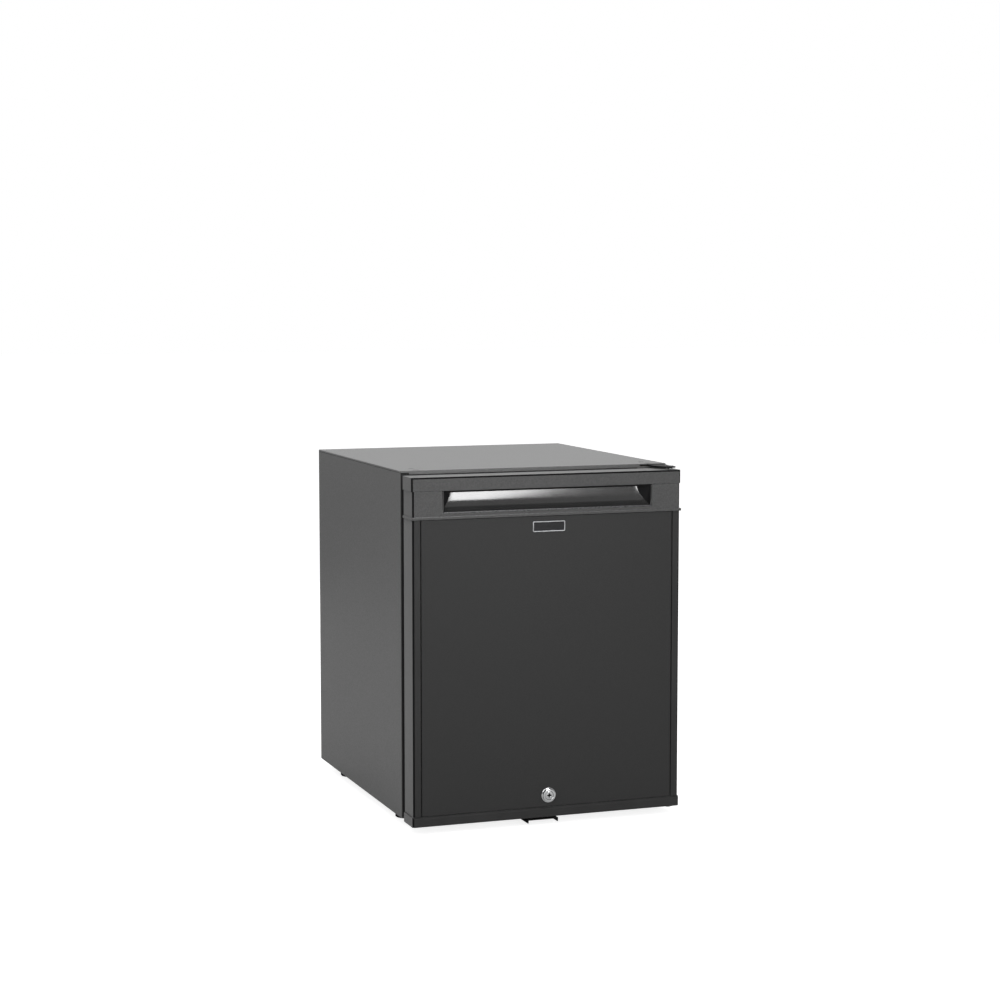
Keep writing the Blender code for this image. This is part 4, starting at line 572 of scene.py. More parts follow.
class MINIBAR_OT_stage(Operator):
    """Camera, floor, lights and backdrop"""
    bl_idname = "minibar.stage"
    bl_label = "Stage"

    def execute(self, context):
        scene = context.scene
        scene.view_settings.view_transform = "Standard"
        # Fitted to fifteen corners that were measured in the photo
        bpy.ops.object.camera_add(location=(-1.1243, -3.1437, 0.7667),
                                  rotation=(math.radians(90 - 5.586), 0, math.radians(-19.89)))
        camera = context.object
        camera.name = "camera"
        camera.data.lens = 80.92
        camera.data.sensor_width = 36
        scene.camera = camera

        bpy.ops.mesh.primitive_plane_add(size=40, location=(0, 0, 0))
        floor = settle(context.object, "floor")
        floor.data.materials.append(self.floor_material())

        # Soft box to the right of the camera, whose reflection fills the grip from the middle to the left
        self.soft_box("key", (0.46, -2.24, 0.9), (90, 0, 0), 0.6, 1.5, 7.9)
        self.soft_box("overhead", (0, 0.2, 2.4), (0, 0, 0), 2.4, 2.0, 1.4)
        self.soft_box("side", (-1.1, -1.3, 1.3), (58.5, 0, -42.5), 1.2, 1.2, 3.1)
        # Fill for the cooling unit, hidden from mirrors because the top would show it as glare
        rear = self.soft_box("rear", (0, 2.3, 0.8), (-84, 0, 0), 0.4, 1.2, 8)
        rear.visible_glossy = False
        self.world(scene)
        return {"FINISHED"}

    def soft_box(self, name, place, turn, width, height, radiance):
        """Rectangular lamp that the camera doesn't see."""
        bpy.ops.object.light_add(type="AREA", location=place, rotation=[math.radians(part) for part in turn])
        lamp = bpy.context.object
        lamp.name = name
        lamp.data.shape = "RECTANGLE"
        lamp.data.size = width
        lamp.data.size_y = height
        lamp.data.energy = math.pi * width * height * radiance
        lamp.visible_camera = False
        return lamp

    def floor_material(self):
        """Pale floor that keeps the fridge's shadow and otherwise meets the white background."""
        made = bpy.data.materials.new("pale_floor")
        made.use_nodes = True
        tree = made.node_tree
        # A box under the fridge where the floor stays in its shadow, so that no light comes up the slots
        half_width, half_depth, box_y, fade = 0.14, 0.1, 0.08, 0.03
        place = add_node(tree, "SeparateXYZ", {0: add_node(tree, "TexCoord").outputs["Object"]})
        behind = add_node(tree, "Math", {0: place.outputs["Y"], 1: box_y}, operation="SUBTRACT")
        far = []
        for way, near in ((place.outputs["X"], half_width), (behind.outputs[0], half_depth)):
            away = add_node(tree, "Math", {0: way}, operation="ABSOLUTE")
            clear = add_node(tree, "MapRange", {"Value": away.outputs[0], "From Min": near,
                                                "From Max": near + fade})
            far.append(clear.outputs[0])
        bare = add_node(tree, "Math", dict(enumerate(far)), operation="MAXIMUM")
        seen = add_node(tree, "LightPath").outputs["Is Camera Ray"]
        lit = add_node(tree, "Math", {0: seen, 1: bare.outputs[0]}, operation="MULTIPLY")
        glow = 0.84
        lift = add_node(tree, "Math", {0: lit.outputs[0], 1: glow}, operation="MULTIPLY")
        feed(tree, tree.nodes["Principled BSDF"], {
            "Base Color": (*linear("#C8C8C8"), 1), "Roughness": 0.9, "Specular IOR Level": 0.1,
            "Emission Color": (1, 1, 1, 1), "Emission Strength": lift.outputs[0]})
        return made

    def world(self, scene):
        """White backdrop for the camera and behind the fridge, and a softer room in front of it."""
        world = bpy.data.worlds.new("studio")
        scene.world = world
        world.use_nodes = True
        tree = world.node_tree
        way = add_node(tree, "SeparateXYZ", {0: add_node(tree, "TexCoord").outputs["Generated"]})
        behind = add_node(tree, "MapRange", {"Value": way.outputs["Y"], "From Min": 0.45, "From Max": 0.8,
                                             "To Min": 0.25, "To Max": 1.0})
        path = add_node(tree, "LightPath").outputs
        mirror = add_node(tree, "Math", {0: path["Is Glossy Ray"], 1: path["Is Transmission Ray"]},
                          operation="MAXIMUM")
        room_strength = 0.42
        room = add_node(tree, "Mix", {0: mirror.outputs[0], 2: room_strength, 3: behind.outputs[0]})
        seen = add_node(tree, "Mix", {0: path["Is Camera Ray"], 2: room.outputs[0], 3: 1.0})
        feed(tree, tree.nodes["Background"], {"Strength": seen.outputs[0], "Color": (1, 1, 1, 1)})


class MINIBAR_OT_finishes(Operator):
    """Finish of every solid that stays as it is"""
    bl_idname = "minibar.finishes"
    bl_label = "Finishes"

    def execute(self, context):
        for node, piece in frame["nodes"].items():
            piece.data.materials.clear()
            piece.data.materials.append(finish(FINISH_OF[node]))
        return {"FINISHED"}


class MINIBAR_OT_cabinet(Operator):
    """Folded steel cabinet with its creases, and the base pan"""
    bl_idname = "minibar.cabinet"
    bl_label = "Cabinet"

    def execute(self, context):
        low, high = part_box("cabinet_wrap")
        wrap = solid_copy("cabinet_wrap", "folded_cabinet")

        def fold(edge):
            """Outer corner edges of the folded sheet."""
            side = every(edge, lambda point: same(abs(point.x), high.x))
            top = every(edge, lambda point: same(point.z, high.z))
            ends = any(every(edge, lambda point: same(point.y, end)) for end in (low.y, high.y))
            return side + top + ends > 1
        bevel(wrap, fold, context.scene.minibar_sizes.fold_radius, 4)

        # Pressed crease along each side, just under the top
        crease, half_width, depth = high.z - 2.9 * MM, 0.3 * MM, 0.5 * MM
        for z in (crease + half_width, crease - half_width):
            act(wrap, "FACE", lambda face: same(abs(middle(face).x), high.x) and abs(face.normal.x) > 0.99,
                bpy.ops.mesh.bisect, plane_co=(0, 0, z), plane_no=UPWARD)

        def in_crease(place, x):
            """Whether the middle of a face lies in the crease, at x."""
            return same(place.x, x) and abs(place.z - crease) < 0.2 * MM
        for side in (-1, 1):
            extrude(wrap, lambda face: in_crease(middle(face), side * high.x), (-side * depth, 0, 0))
        soften(wrap, 0.2, 1, 60)
        stand_in(wrap, "folded_cabinet", "cabinet_wrap", angle=40)
        # The crease's faces take the painted-shade black: painted shade in the crease
        second(wrap, "recessed_edge", lambda face: any(
            in_crease(face.center, side * (high.x - depth)) for side in (-1, 1)))
        soft_copy("base_pan", "pressed_base_pan", 0.3)
        return {"FINISHED"}


class MINIBAR_OT_feet(Operator):
    """Ribbed rubber feet"""
    bl_idname = "minibar.feet"
    bl_label = "Feet"

    def execute(self, context):
        profile = [(0, 1.2), (8.6, 1.2), (9.6, 0), (16, 0), (17, 1), (17, 2.2), (16.2, 2.7), (17, 3.2),
                   (17, 4.2), (15.8, 5.6), (15.1, 6.6), (15.5, 7.4), (14.4, 9.4), (13.4, 14.7), (0, 14.7)]
        first = turned("rubber_foot", profile, (0, 0, 0), UPWARD, 40)
        for node in WORN_BY["moulded_rubber"].split():
            foot = twin(first, (*centre(node).xy, 0))
            stand_in(foot, node.replace("foot", "rubber_foot"), node)
        bpy.data.objects.remove(first)
        return {"FINISHED"}


class MINIBAR_OT_door_frame(Operator):
    """Plastic mouldings round the door"""
    bl_idname = "minibar.door_frame"
    bl_label = "Door frame"

    def execute(self, context):
        radius = context.scene.minibar_sizes.moulding_radius / MM
        for node, name in (("door_top_cap", "cap_moulding"), ("handle_band", "band_moulding"),
                           ("side_profile_left", "left_strip"), ("side_profile_right", "right_strip"),
                           ("bottom_rail", "rail_moulding")):
            low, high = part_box(node)
            moulding = solid_copy(node, name)

            def shade_painted_chamfer(face):
                """Chamfer between the front of a moulding and its sides or top, whose groove takes the
                painted shade.
                """
                return -0.9 < face.normal.y < -0.5 and (node != "bottom_rail" or abs(face.normal.x) > 0.3)
            if node.startswith("side_profile"):
                inner = min(abs(low.x), abs(high.x))
                bevel(moulding, lambda edge: every(edge, lambda point: same(abs(point.x), inner)
                                                   and same(point.y, low.y)), 1.1 * MM, 1)
            chamfers = any(shade_painted_chamfer(face) for face in moulding.data.polygons)
            if chamfers:
                inset(moulding, shade_painted_chamfer, 0.35 * MM, -0.3 * MM)
            soften(moulding, radius * (0.4 if chamfers else 1))
            stand_in(moulding, name, node)
            # The chamfer grooves take the painted-shade black: a painted shadow line round the door's front
            second(moulding, "recessed_edge", shade_painted_chamfer)
            # On the rail the top faces at its ends take it too: painted shade at the corners
            if node == "bottom_rail":
                second(moulding, "recessed_edge", lambda face: face.normal.z > 0.3
                       and abs(face.center.x) > high.x - 1.2 * MM)
            if node == "handle_band":
                bead_top = low.z + 5 * MM
                # The bead's upward faces take the shinier satin finish: a painted highlight where the
                # overhead light falls
                second(moulding, "satin_abs", lambda face: 0.25 < face.normal.z < 0.97
                       and face.center.z < bead_top and face.center.y < low.y + 3 * MM)
                # The bead's underside takes the painted-shade black: a painted shadow line under the bead
                second(moulding, "recessed_edge", lambda face: face.normal.z < -0.6
                       and face.center.z < bead_top)
        soft_copy("door_hole_plug", "spare_hole_plug", 0.3)
        return {"FINISHED"}


class MINIBAR_OT_door_front(Operator):
    """Door sheet and the bare plate on it"""
    bl_idname = "minibar.door_front"
    bl_label = "Door front"

    def execute(self, context):
        soft_copy("front_panel", "door_sheet", 0.35)
        low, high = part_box("front_plate")
        plate = box("bare_plate", low, high)
        bevel(plate, lambda edge: same(edge.verts[0].co.x, edge.verts[1].co.x)
              and same(edge.verts[0].co.z, edge.verts[1].co.z), context.scene.minibar_sizes.plate_corner, 6)
        inset(plate, lambda face: face.normal.y < -0.9, 1.1 * MM)
        extrude(plate, lambda face: face.normal.y < -0.9 and len(face.verts) > 4, (0, 0.2 * MM, 0))
        soften(plate, 0.1)
        dress(plate, "bare_plate", "satin_nickel", "door", "front_plate")
        second(plate, "plate_enamel", lambda face: face.normal.y < -0.99
               and face.center.y > low.y + 0.15 * MM)
        return {"FINISHED"}


class MINIBAR_OT_grip(Operator):
    """Hollow of the handle: a gloss shell swept along a quarter oval, with slanted ends"""
    bl_idname = "minibar.grip"
    bl_label = "Grip"

    def execute(self, context):
        low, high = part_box("handle_scoop")
        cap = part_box("door_top_cap")[0]
        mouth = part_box("handle_band")[1].z
        wall = 1.5 * MM
        front = low.y
        deep = high.y - wall - front
        bottom = low.z + wall
        roof = high.z - wall
        half = high.x - wall
        behind = cap.y + 2.5 * MM
        steps = 20
        shell = []
        for index in range(steps + 1):
            turn = math.pi / 2 * index / steps
            shell.append((front + deep * math.sin(turn), cap.z - (cap.z - bottom) * math.cos(turn)))
        shell += [(shell[-1][0], roof), (behind, roof), (behind, mouth - 0.5 * MM), (front, mouth - 0.5 * MM)]
        set_in = 15 * MM
        shallow = 1 - 0.4 * MM / deep
        ends = []
        for side in (-1, 1):
            ends.append(line("end", [(side * (half - set_in * ((y - front) / deep) ** 2.5),
                                      front + (y - front) * shallow, z) for y, z in shell]))
        grip = join(ends)
        select_whole(grip)
        bpy.ops.mesh.bridge_edge_loops()
        done()

        # The hollow comes forward a little over its last stretch, which draws a bright crescent at the right
        turn_in = half - set_in - 5 * MM
        for side in (-1, 1):
            slice_at(grip, (side * turn_in, 0, 0), (1, 0, 0))
        act(grip, "VERT", lambda vert: same(abs(vert.co.x), turn_in),
            bpy.ops.transform.resize, value=(1, 1 / shallow, 1), center_override=(0, front, 0))
        act(grip, "FACE", lambda face: middle(face).z > mouth - 1 * MM
            and middle(face).y < behind + 0.1 * MM, bpy.ops.mesh.delete, type="ONLY_FACE")
        for side in (-1, 1):
            select(grip, "VERT", lambda vert: vert.co.x * side > turn_in + 1 * MM)
            bpy.ops.mesh.edge_face_add()
            bpy.ops.mesh.quads_convert_to_tris(quad_method="BEAUTY", ngon_method="BEAUTY")
            done()
        select_whole(grip)
        face_out()
        bevel(grip, lambda edge: len(edge.link_faces) == 2 and middle(edge).z < cap.z
              and {len(face.verts) for face in edge.link_faces} == {3, 4}, 0.5 * MM, 2)
        back = max(grip.data.polygons, key=lambda face: face.center.y)
        if back.normal.y > 0:
            act(grip, "FACE", whole, bpy.ops.mesh.flip_normals)
        modify(grip, "SOLIDIFY", thickness=wall, offset=-1, use_even_offset=True)
        soften(grip, 0.3, angle=50)

        lip_end = Vector((half - 0.5 * MM, front, bottom - 0.1 * MM))
        lip = rod("lip", lip_end * Vector((-1, 1, 1)), lip_end, 0.9 * MM, 16)
        # Turned-in edge over the mouth; its front takes the painted-shade black, a painted shadow line under
        # the cap
        brow = box("brow", (-half + 1.5 * MM, front + 0.2 * MM, cap.z - 2.4 * MM),
                   (half - 1.5 * MM, front + 2.4 * MM, cap.z - 0.1 * MM))
        grip = join([grip, soften(lip, 0.2), soften(brow, 0.3)])
        stand_in(grip, "gloss_grip", "handle_scoop", angle=40)
        # The slanted end walls take the darker matt finish: painted shade, for they lie in shadow
        second(grip, "matt_abs", lambda face: abs(face.normal.x) > 0.6)
        second(grip, "satin_abs", lambda face: face.center.y < front + 0.95 * MM
               and face.center.z < bottom + 0.85 * MM)
        # The brow's front and the mouth's top edge take the painted-shade black: painted shadow under the cap
        second(grip, "recessed_edge", lambda face: face.center.y < front + 2.5 * MM
               and cap.z - 2.5 * MM < face.center.z < cap.z and abs(face.center.x) < half - 1.4 * MM)
        return {"FINISHED"}


class MINIBAR_OT_lock(Operator):
    """Key lock: domed ring, cylinder with a star keyway, nut and cam"""
    bl_idname = "minibar.lock"
    bl_label = "Lock"

    def execute(self, context):
        low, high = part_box("lock_body")
        front = Vector((0, low.y, (low.z + high.z) / 2))
        length = (high.y - low.y) / MM
        profile = [(6.3, 1.2), (6.3, 0.25), (6.6, 0), (8.4, 0), (9, 0.35), (9.2, 0.9), (9.2, 2.1),
                   (10.3, 2.5), (10.8, 3), (11, 3.6), (11, 4.1), (8.7, 4.1), (8.7, length), (6.3, length),
                   (6.3, 1.2)]
        ring = turned("lock_ring", profile, front, steps=64)
        stand_in(ring, "lock_ring", "lock_body")
        # The ring's neck takes the painted-shade black: a painted shadow crescent between dome and flange
        second(ring, "recessed_edge", lambda face: 0.9 * MM < face.center.y - front.y < 2.1 * MM)

        tail_length = 8
        end = (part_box("lock_cylinder")[1].y - front.y) / MM - tail_length
        plug = turned("lock_plug", [(0, 0.15), (5.5, 0.15), (5.9, 0.4), (6, 0.9), (6, end), (0, end)], front)
        tail = box("tail", front + Vector((-3, end - 1, -3)) * MM,
                   front + Vector((3, end + tail_length, 3)) * MM)
        cut(plug, soften(tail, 0.4), "UNION")
        points, tip, notch = 4, 3.9, 1.9
        star = []
        for index in range(2 * points):
            radius = (tip, notch)[index % 2]
            turn = math.pi / points * index
            star.append(front + Vector((radius * math.cos(turn), -1, radius * math.sin(turn))) * MM)
        cut(plug, prism("keyway", star, (0, 5.5 * MM, 0)))
        soften(plug, 0.12, 1, 50)
        stand_in(plug, "lock_plug", "lock_cylinder")
        # The keyway's inner faces take the painted-shade black: painted shade inside the keyway
        second(plug, "recessed_edge", lambda face: 0.5 * MM < face.center.y - front.y < 9 * MM
               and math.hypot(face.center.x, face.center.z - front.z) < 4 * MM)
        soft_copy("lock_nut", "hexagon_nut", 0.5)
        soft_copy("lock_cam", "cam_plate", 0.3)
        return {"FINISHED"}


class MINIBAR_OT_hinges(Operator):
    """Hinge plates, pins, cross-head screws, bearings and the strike"""
    bl_idname = "minibar.hinges"
    bl_label = "Hinges and strike"

    def execute(self, context):
        for node, name, width in (
                ("top_hinge_plate", "upper_hinge_plate", 0.4),
                ("bottom_hinge_plate", "lower_hinge_plate", 0.4),
                ("top_hinge_pin", "upper_pin", 0.3), ("bottom_hinge_pin", "lower_pin", 0.3),
                ("top_hinge_bush", "upper_bearing", 0.3), ("bottom_hinge_bush", "lower_bearing", 0.3),
                ("lock_strike", "bent_strike", 0.35), ("spare_hole_insert", "spare_hole_cover", 0.4)):
            soft_copy(node, name, width)
        # The arm over the door is narrower than the foot under the screws
        low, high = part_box("top_hinge_plate")
        arm_side = 173 * MM
        notch = box("notch", (low.x - 1 * MM, low.y - 1 * MM, low.z - 1 * MM),
                    (arm_side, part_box("cabinet_wrap")[0].y - 0.6 * MM, high.z + 1 * MM))
        cut(bpy.data.objects["upper_hinge_plate"], notch)
        for node in ("hinge_screw_front", "hinge_screw_rear"):
            low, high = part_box(node)
            length = (high.z - low.z) / MM
            top = Vector((*centre(node).xy, high.z))
            profile = [(0, 0), (2.4, 0.25), (3.6, 0.85), (4, 1.3), (2, 3.2), (2, length - 0.8), (1.4, length),
                       (0, length)]
            screw = turned(node, profile, top, (0, 0, -1), 32)
            for reach in (Vector((2.3, 0.45, 1.3)) * MM, Vector((0.45, 2.3, 1.3)) * MM):
                cut(screw, box("slot", top - reach, top + reach))
            soften(screw, 0.1, 1, 50)
            dress(screw, node.replace("hinge", "cross_head"), "chrome_plate", "cabinet", node)
        return {"FINISHED"}


class MINIBAR_OT_gasket(Operator):
    """Magnetic gasket: a bellows section swept round the door with mitred corners"""
    bl_idname = "minibar.gasket"
    bl_label = "Gasket"

    def execute(self, context):
        low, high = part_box("door_gasket")
        section = [(0, 0), (0, 1.3), (2.8, 2.6), (1.2, 4.1), (2.8, 5.6), (0.2, 6.6), (0, 7.2), (0, 10.8),
                   (0.6, 11.4), (9.4, 11.4), (10, 10.8), (10, 7.2), (9.8, 6.6), (7.4, 5.6), (8.8, 4.1),
                   (7.4, 2.6), (10, 1.3), (10, 0), (0, 0)]
        corners = []
        for side, way, edge in ((-1, 1, high.z), (1, 1, high.z), (1, -1, low.z), (-1, -1, low.z)):
            corners.append(line("corner", [(side * (high.x - inward * MM), low.y + forward * MM,
                                            edge - way * inward * MM) for inward, forward in section]))
        seal = join(corners)
        weld(seal)
        bpy.ops.mesh.bridge_edge_loops(type="CLOSED")
        face_out()
        soften(seal, 0.25, angle=50)
        # Soft black wings along the cabinet's front, clear of the hinges: painted shade that fills the gap
        # with black where the door shades it
        clear_of_hinge = 155 * MM
        wing = box("wing", (low.x - 10.8 * MM, high.y - 0.9 * MM, low.z - 9 * MM),
                   (low.x + 1 * MM, high.y, high.z + 9 * MM))
        upper = box("wing", (low.x - 5 * MM, high.y - 0.8 * MM, high.z - 1 * MM),
                    (clear_of_hinge, high.y - 0.1 * MM, high.z + 6.5 * MM))
        stand_in(join([seal, soften(wing, 0.3), soften(upper, 0.2)]), "bellows_gasket", "door_gasket")
        return {"FINISHED"}


class MINIBAR_OT_lining(Operator):
    """Formed linings of the cabinet and of the door"""
    bl_idname = "minibar.lining"
    bl_label = "Linings"

    def execute(self, context):
        lining = solid_copy("cabinet_liner", "cabinet_lining")
        # Inner faces of the cavity's walls
        half, back, floor, ceiling = 170.5 * MM, 101 * MM, 49 * MM, 466 * MM

        def inside_corner(edge):
            """Edges where two inner walls of the cavity meet."""
            walls = (lambda point: same(abs(point.x), half), lambda point: same(point.y, back),
                     lambda point: same(point.z, floor), lambda point: same(point.z, ceiling))
            return sum(every(edge, wall) for wall in walls) == 2
        bevel(lining, inside_corner, context.scene.minibar_sizes.corner_radius, 6)
        soften(lining, 0.5)
        stand_in(lining, "cabinet_lining", "cabinet_liner")
        soft_copy("door_liner", "door_lining", 0.8, 3)
        core = soft_copy("door_insulation", "door_foam", 0.3, 1)
        # The foam's faces within 34 mm of its front take the painted-shade black: painted shade in the door's
        # seams
        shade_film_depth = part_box("door_insulation")[0].y + 34 * MM
        second(core, "recessed_edge", lambda face: face.center.y < shade_film_depth)
        return {"FINISHED"}


class MINIBAR_OT_racks(Operator):
    """Bottle racks with a rolled rim and ribs"""
    bl_idname = "minibar.racks"
    bl_label = "Door racks"

    def execute(self, context):
        for level in ("lower", "middle", "upper"):
            node = "door_rack_" + level
            low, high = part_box(node)
            rim_half, rim_front, rim_z = 136.7 * MM, low.y + 2 * MM, high.z - 0.6 * MM
            back = high.y - 1 * MM
            rim = [(-rim_half, rim_front, rim_z), (-rim_half, back, rim_z), (rim_half, back, rim_z),
                   (rim_half, rim_front, rim_z)]
            parts = [soft_solid(node, node, 0.6), pipe("rim", rim, 1.7 * MM, 3 * MM)]
            for x in range(-110, 111, 22):
                rib = box("rib", ((x - 0.9) * MM, back - 0.5 * MM, low.z + 5 * MM),
                          ((x + 0.9) * MM, back + 1.7 * MM, high.z - 3 * MM))
                parts.append(soften(rib, 0.6))
            stand_in(join(parts), "bottle_rack_" + level, node)
        return {"FINISHED"}


class MINIBAR_OT_shelves(Operator):
    """Welded wire shelves"""
    bl_idname = "minibar.shelves"
    bl_label = "Shelves"

    def execute(self, context):
        for level in ("lower", "upper"):
            node = "shelf_" + level
            low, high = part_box(node)
            z = (low.z + high.z) / 2
            edge = 3 * MM
            left, right, front, back = low.x + edge, high.x - edge, low.y + edge, high.y - edge
            parts = [hoop("frame", [(left, front, z), (right, front, z), (right, back, z), (left, back, z)],
                          edge, 9 * MM)]
            for index in range(1, 14):
                x = left + (right - left) * index / 14
                parts.append(rod("wire", (x, front, z), (x, back, z), 1.7 * MM, 12))
            for y in (front + (back - front) * 0.33, front + (back - front) * 0.67):
                parts.append(rod("wire", (left, y, z - 1.5 * MM), (right, y, z - 1.5 * MM), 1.5 * MM, 12))
            stand_in(join(parts), "wire_shelf_" + level, node)
        return {"FINISHED"}


class MINIBAR_OT_controls(Operator):
    """Thermostat housing with its scale, the knob, the lamp cover and the door switch"""
    bl_idname = "minibar.controls"
    bl_label = "Thermostat and lamp"

    def execute(self, context):
        soft_copy("thermostat_housing", "thermostat_case", 0.8, 3)
        hub = centre("thermostat_knob")
        hub.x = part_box("thermostat_housing")[0].x

        def around(degrees, radius):
            """Place on the scale round the knob; radius is in mm."""
            turn = math.radians(degrees)
            return hub + Vector((0, math.sin(turn), math.cos(turn))) * radius * MM
        travel, last = 270, 5
        scale = [self.numeral(str(last - index), around(travel / last * index, 20.6), 5 * MM)
                 for index in range(last + 1)]
        ticks = 5 * last
        for index in range(ticks + 1):
            degrees = travel * index / ticks
            scale.append(rod("tick", around(degrees, 15.6), around(degrees, 17.2), 0.25 * MM, 8))
        dress(join(scale), "thermostat_scale", "pad_print", "cabinet")
        stand_in(soft_solid("thermostat_knob", "fluted_knob", 0.6, 3, 30), "fluted_knob", "thermostat_knob")

        low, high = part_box("lamp_lens")
        parts = [soft_solid("lamp_lens", "lamp_cover", 1.2, 3, 30)]
        rib_x, rib_low, rib_high = low.x + 0.3 * MM, low.z + 6 * MM, high.z - 6 * MM
        for index in range(9):
            y = low.y + 7 * MM + (high.y - low.y - 14 * MM) * index / 8
            parts.append(rod("rib", (rib_x, y, rib_low), (rib_x, y, rib_high), 0.9 * MM, 10))
        stand_in(join(parts), "lamp_cover", "lamp_lens")
        soft_copy("door_switch_body", "switch_body", 0.3)
        soft_copy("door_switch_plunger", "switch_plunger_cap", 0.4, 3)
        return {"FINISHED"}

    def numeral(self, text, place, size):
        """Number in relief that faces the middle of the cavity."""
        bpy.ops.object.text_add()
        sign = bpy.context.object
        sign.data.body = text
        sign.data.size = size
        sign.data.extrude = 0.1 * MM
        sign.data.align_x = sign.data.align_y = "CENTER"
        activate(sign)
        bpy.ops.object.convert(target="MESH")
        sign = bpy.context.object
        sign.rotation_euler = (math.radians(90), 0, math.radians(-90))
        sign.location = place
        return settle(sign, "numeral")


class MINIBAR_OT_evaporator(Operator):
    """Evaporator plate and tube, drip tray and drain"""
    bl_idname = "minibar.evaporator"
    bl_label = "Evaporator"

    def execute(self, context):
        soft_copy("evaporator_fins", "finned_plate", 0.5)
        soft_copy("evaporator_tube", "evaporator_pipe", 0.2)
        soft_copy("drip_tray", "drip_pan", 0.5)
        soft_copy("drain_tube", "drain_pipe", 0.2)
        soft_copy("condensate_tray", "catch_tray", 0.5)
        return {"FINISHED"}


class MINIBAR_OT_rear_wall(Operator):
    """Rear panel with its screws and the plug of the foam inlet"""
    bl_idname = "minibar.rear_wall"
    bl_label = "Rear panel"

    def execute(self, context):
        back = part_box("rear_panel")[1].y
        places = [(x, z) for x in (-192.5, 192.5) for z in (30, 160, 270, 380, 492)]
        places += [(x, z) for x in (-100, 0, 100) for z in (24, 497)]
        foam_inlet = (-178 * MM, back, 450 * MM)
        parts = [soft_solid("rear_panel", "rear_sheet", 0.25, 1),
                 turned("plug", [(0, 1.6), (9, 1.6), (11, 1.1), (12.5, 0.1), (12.5, -0.5), (0, -0.5)],
                        foam_inlet, steps=40)]
        parts += [pan_head((x * MM, back, z * MM), 3.6) for x, z in places]
        stand_in(join(parts), "rear_sheet", "rear_panel")
        return {"FINISHED"}


class MINIBAR_OT_cooling_unit(Operator):
    """Boiler, condenser, absorber and what holds them"""
    bl_idname = "minibar.cooling_unit"
    bl_label = "Cooling unit"

    def execute(self, context):
        low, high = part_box("boiler")
        top = (high.z - low.z) / MM
        lower = [(0, 1.6), (26, 1.6), (29.4, 0.8), (30.6, 0), (32.4, 0), (33, 0.7), (33, 5), (32.3, 5.8),
                 (32.3, 48), (32.8, 49), (32.8, 52), (32.3, 53)]
        upper = [(radius, top - height) for radius, height in reversed(lower)]
        base = Vector((*centre("boiler").xy, low.z))
        can = turned("boiler_can", lower + upper, base, UPWARD, 64)
        seam = box("seam", base + Vector((-33, -3, 8)) * MM, base + Vector((-31.5, 3, top - 8)) * MM)
        stand_in(join([can, soften(seam, 0.4)]), "boiler_can", "boiler")

        low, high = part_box("boiler_strap")
        parts = [soft_solid("boiler_strap", "boiler_clamp", 0.3)]
        parts += [pan_head((x, low.y + 1.5 * MM, (low.z + high.z) / 2), 3.4)
                  for x in (low.x + 6 * MM, high.x - 6 * MM)]
        stand_in(join(parts), "boiler_clamp", "boiler_strap")
        soft_copy("unit_bracket_left", "unit_carrier_left", 0.4)
        soft_copy("unit_bracket_right", "unit_carrier_right", 0.4)
        soft_copy("condenser", "finned_condenser", 0.25, 1)
        soft_copy("absorber_coil", "absorber_pipe", 0.2)

        parts = [soft_solid("absorber_vessel", "absorber_tank", 1.5, 3, 25)]
        axis_y, axis_z = 189 * MM, 83 * MM
        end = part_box("absorber_vessel")[0].x
        weld_seam = [(27.4, -2), (28.3, -1.2), (28.7, 0), (28.3, 1.2), (27.4, 2), (27.4, -2)]
        for along in (13, 190):
            parts.append(turned("weld", weld_seam, (end + along * MM, axis_y, axis_z), (1, 0, 0)))
        stand_in(join(parts), "absorber_tank", "absorber_vessel")
        return {"FINISHED"}


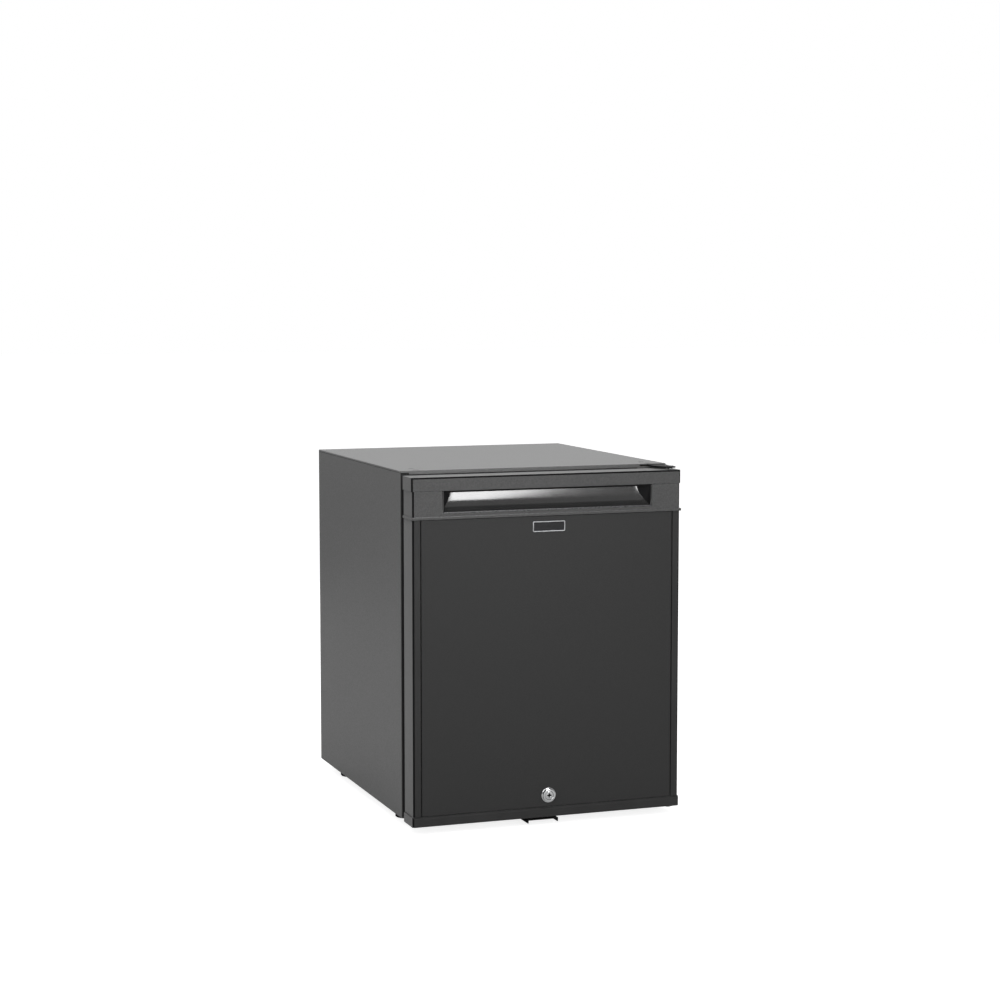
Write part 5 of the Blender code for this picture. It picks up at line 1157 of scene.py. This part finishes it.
class MINIBAR_OT_electrics(Operator):
    """Terminal box with its lid screws and gland, the inlet, and the heater lead"""
    bl_idname = "minibar.electrics"
    bl_label = "Electrics"

    def execute(self, context):
        low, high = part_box("control_box")
        case = solid_copy("control_box", "terminal_box")
        for depth in (18, 19.2):
            slice_at(case, (0, high.y - depth * MM, 0), REARWARD)
        parts = [soften(case, 0.5)]
        parts += [pan_head((x, high.y, high.z - 8 * MM), 3) for x in (low.x + 8 * MM, high.x - 8 * MM)]
        gland = [(3.3, 0), (7, 0), (7, 3), (5.8, 3.4), (5.2, 8), (4.6, 9), (3.3, 9), (3.3, 0)]
        lead_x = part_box("heater_lead")[1].x - 3 * MM
        parts.append(turned("gland", gland, (lead_x, centre("heater_lead").y, high.z), UPWARD, 32))
        middle_x = (low.x + high.x) / 2
        for index in range(5):
            z = high.z - (20 + 5 * index) * MM
            slat = box("slat", (middle_x - 11 * MM, high.y - 0.4 * MM, z - 0.9 * MM),
                       (middle_x + 11 * MM, high.y + 1.1 * MM, z + 0.9 * MM))
            parts.append(soften(slat, 0.5))
        stand_in(join(parts), "terminal_box", "control_box")
        soft_copy("mains_inlet", "power_inlet", 0.5)
        soft_copy("heater_lead", "sleeved_lead", 0.2)
        return {"FINISHED"}


CLASSES = (MinibarSizes, MinibarColours, MINIBAR_OT_stage,
           MINIBAR_OT_finishes, MINIBAR_OT_cabinet, MINIBAR_OT_feet, MINIBAR_OT_door_frame,
           MINIBAR_OT_door_front, MINIBAR_OT_grip, MINIBAR_OT_lock, MINIBAR_OT_hinges,
           MINIBAR_OT_gasket, MINIBAR_OT_lining, MINIBAR_OT_racks, MINIBAR_OT_shelves,
           MINIBAR_OT_controls, MINIBAR_OT_evaporator, MINIBAR_OT_rear_wall, MINIBAR_OT_cooling_unit,
           MINIBAR_OT_electrics)
OPERATORS = [kind for kind in CLASSES if issubclass(kind, Operator)]


class MINIBAR_PT_sidebar(Panel):
    """Sizes, colours and the operators in the order in which they run"""
    bl_label = "Minibar fridge"
    bl_idname = "MINIBAR_PT_sidebar"
    bl_space_type = "VIEW_3D"
    bl_region_type = "UI"
    bl_category = "Minibar"

    def draw(self, context):
        for group in (context.scene.minibar_sizes, context.scene.minibar_colours):
            column = self.layout.column(align=True)
            for name in group.__annotations__:
                column.prop(group, name)
        for operator in OPERATORS:
            self.layout.operator(operator.bl_idname)


def register():
    """Register the classes and hang the settings on the scene."""
    for kind in (*CLASSES, MINIBAR_PT_sidebar):
        bpy.utils.register_class(kind)
    bpy.types.Scene.minibar_sizes = bpy.props.PointerProperty(type=MinibarSizes)
    bpy.types.Scene.minibar_colours = bpy.props.PointerProperty(type=MinibarColours)


def unregister():
    """Take the settings and the classes away again."""
    del bpy.types.Scene.minibar_sizes
    del bpy.types.Scene.minibar_colours
    for kind in (MINIBAR_PT_sidebar, *reversed(CLASSES)):
        bpy.utils.unregister_class(kind)


def main():
    """Register the settings and make every piece in order."""
    register()
    for operator in OPERATORS:
        group, name = operator.bl_idname.split(".")
        getattr(getattr(bpy.ops, group), name)()


if __name__ == "__main__":
    main()
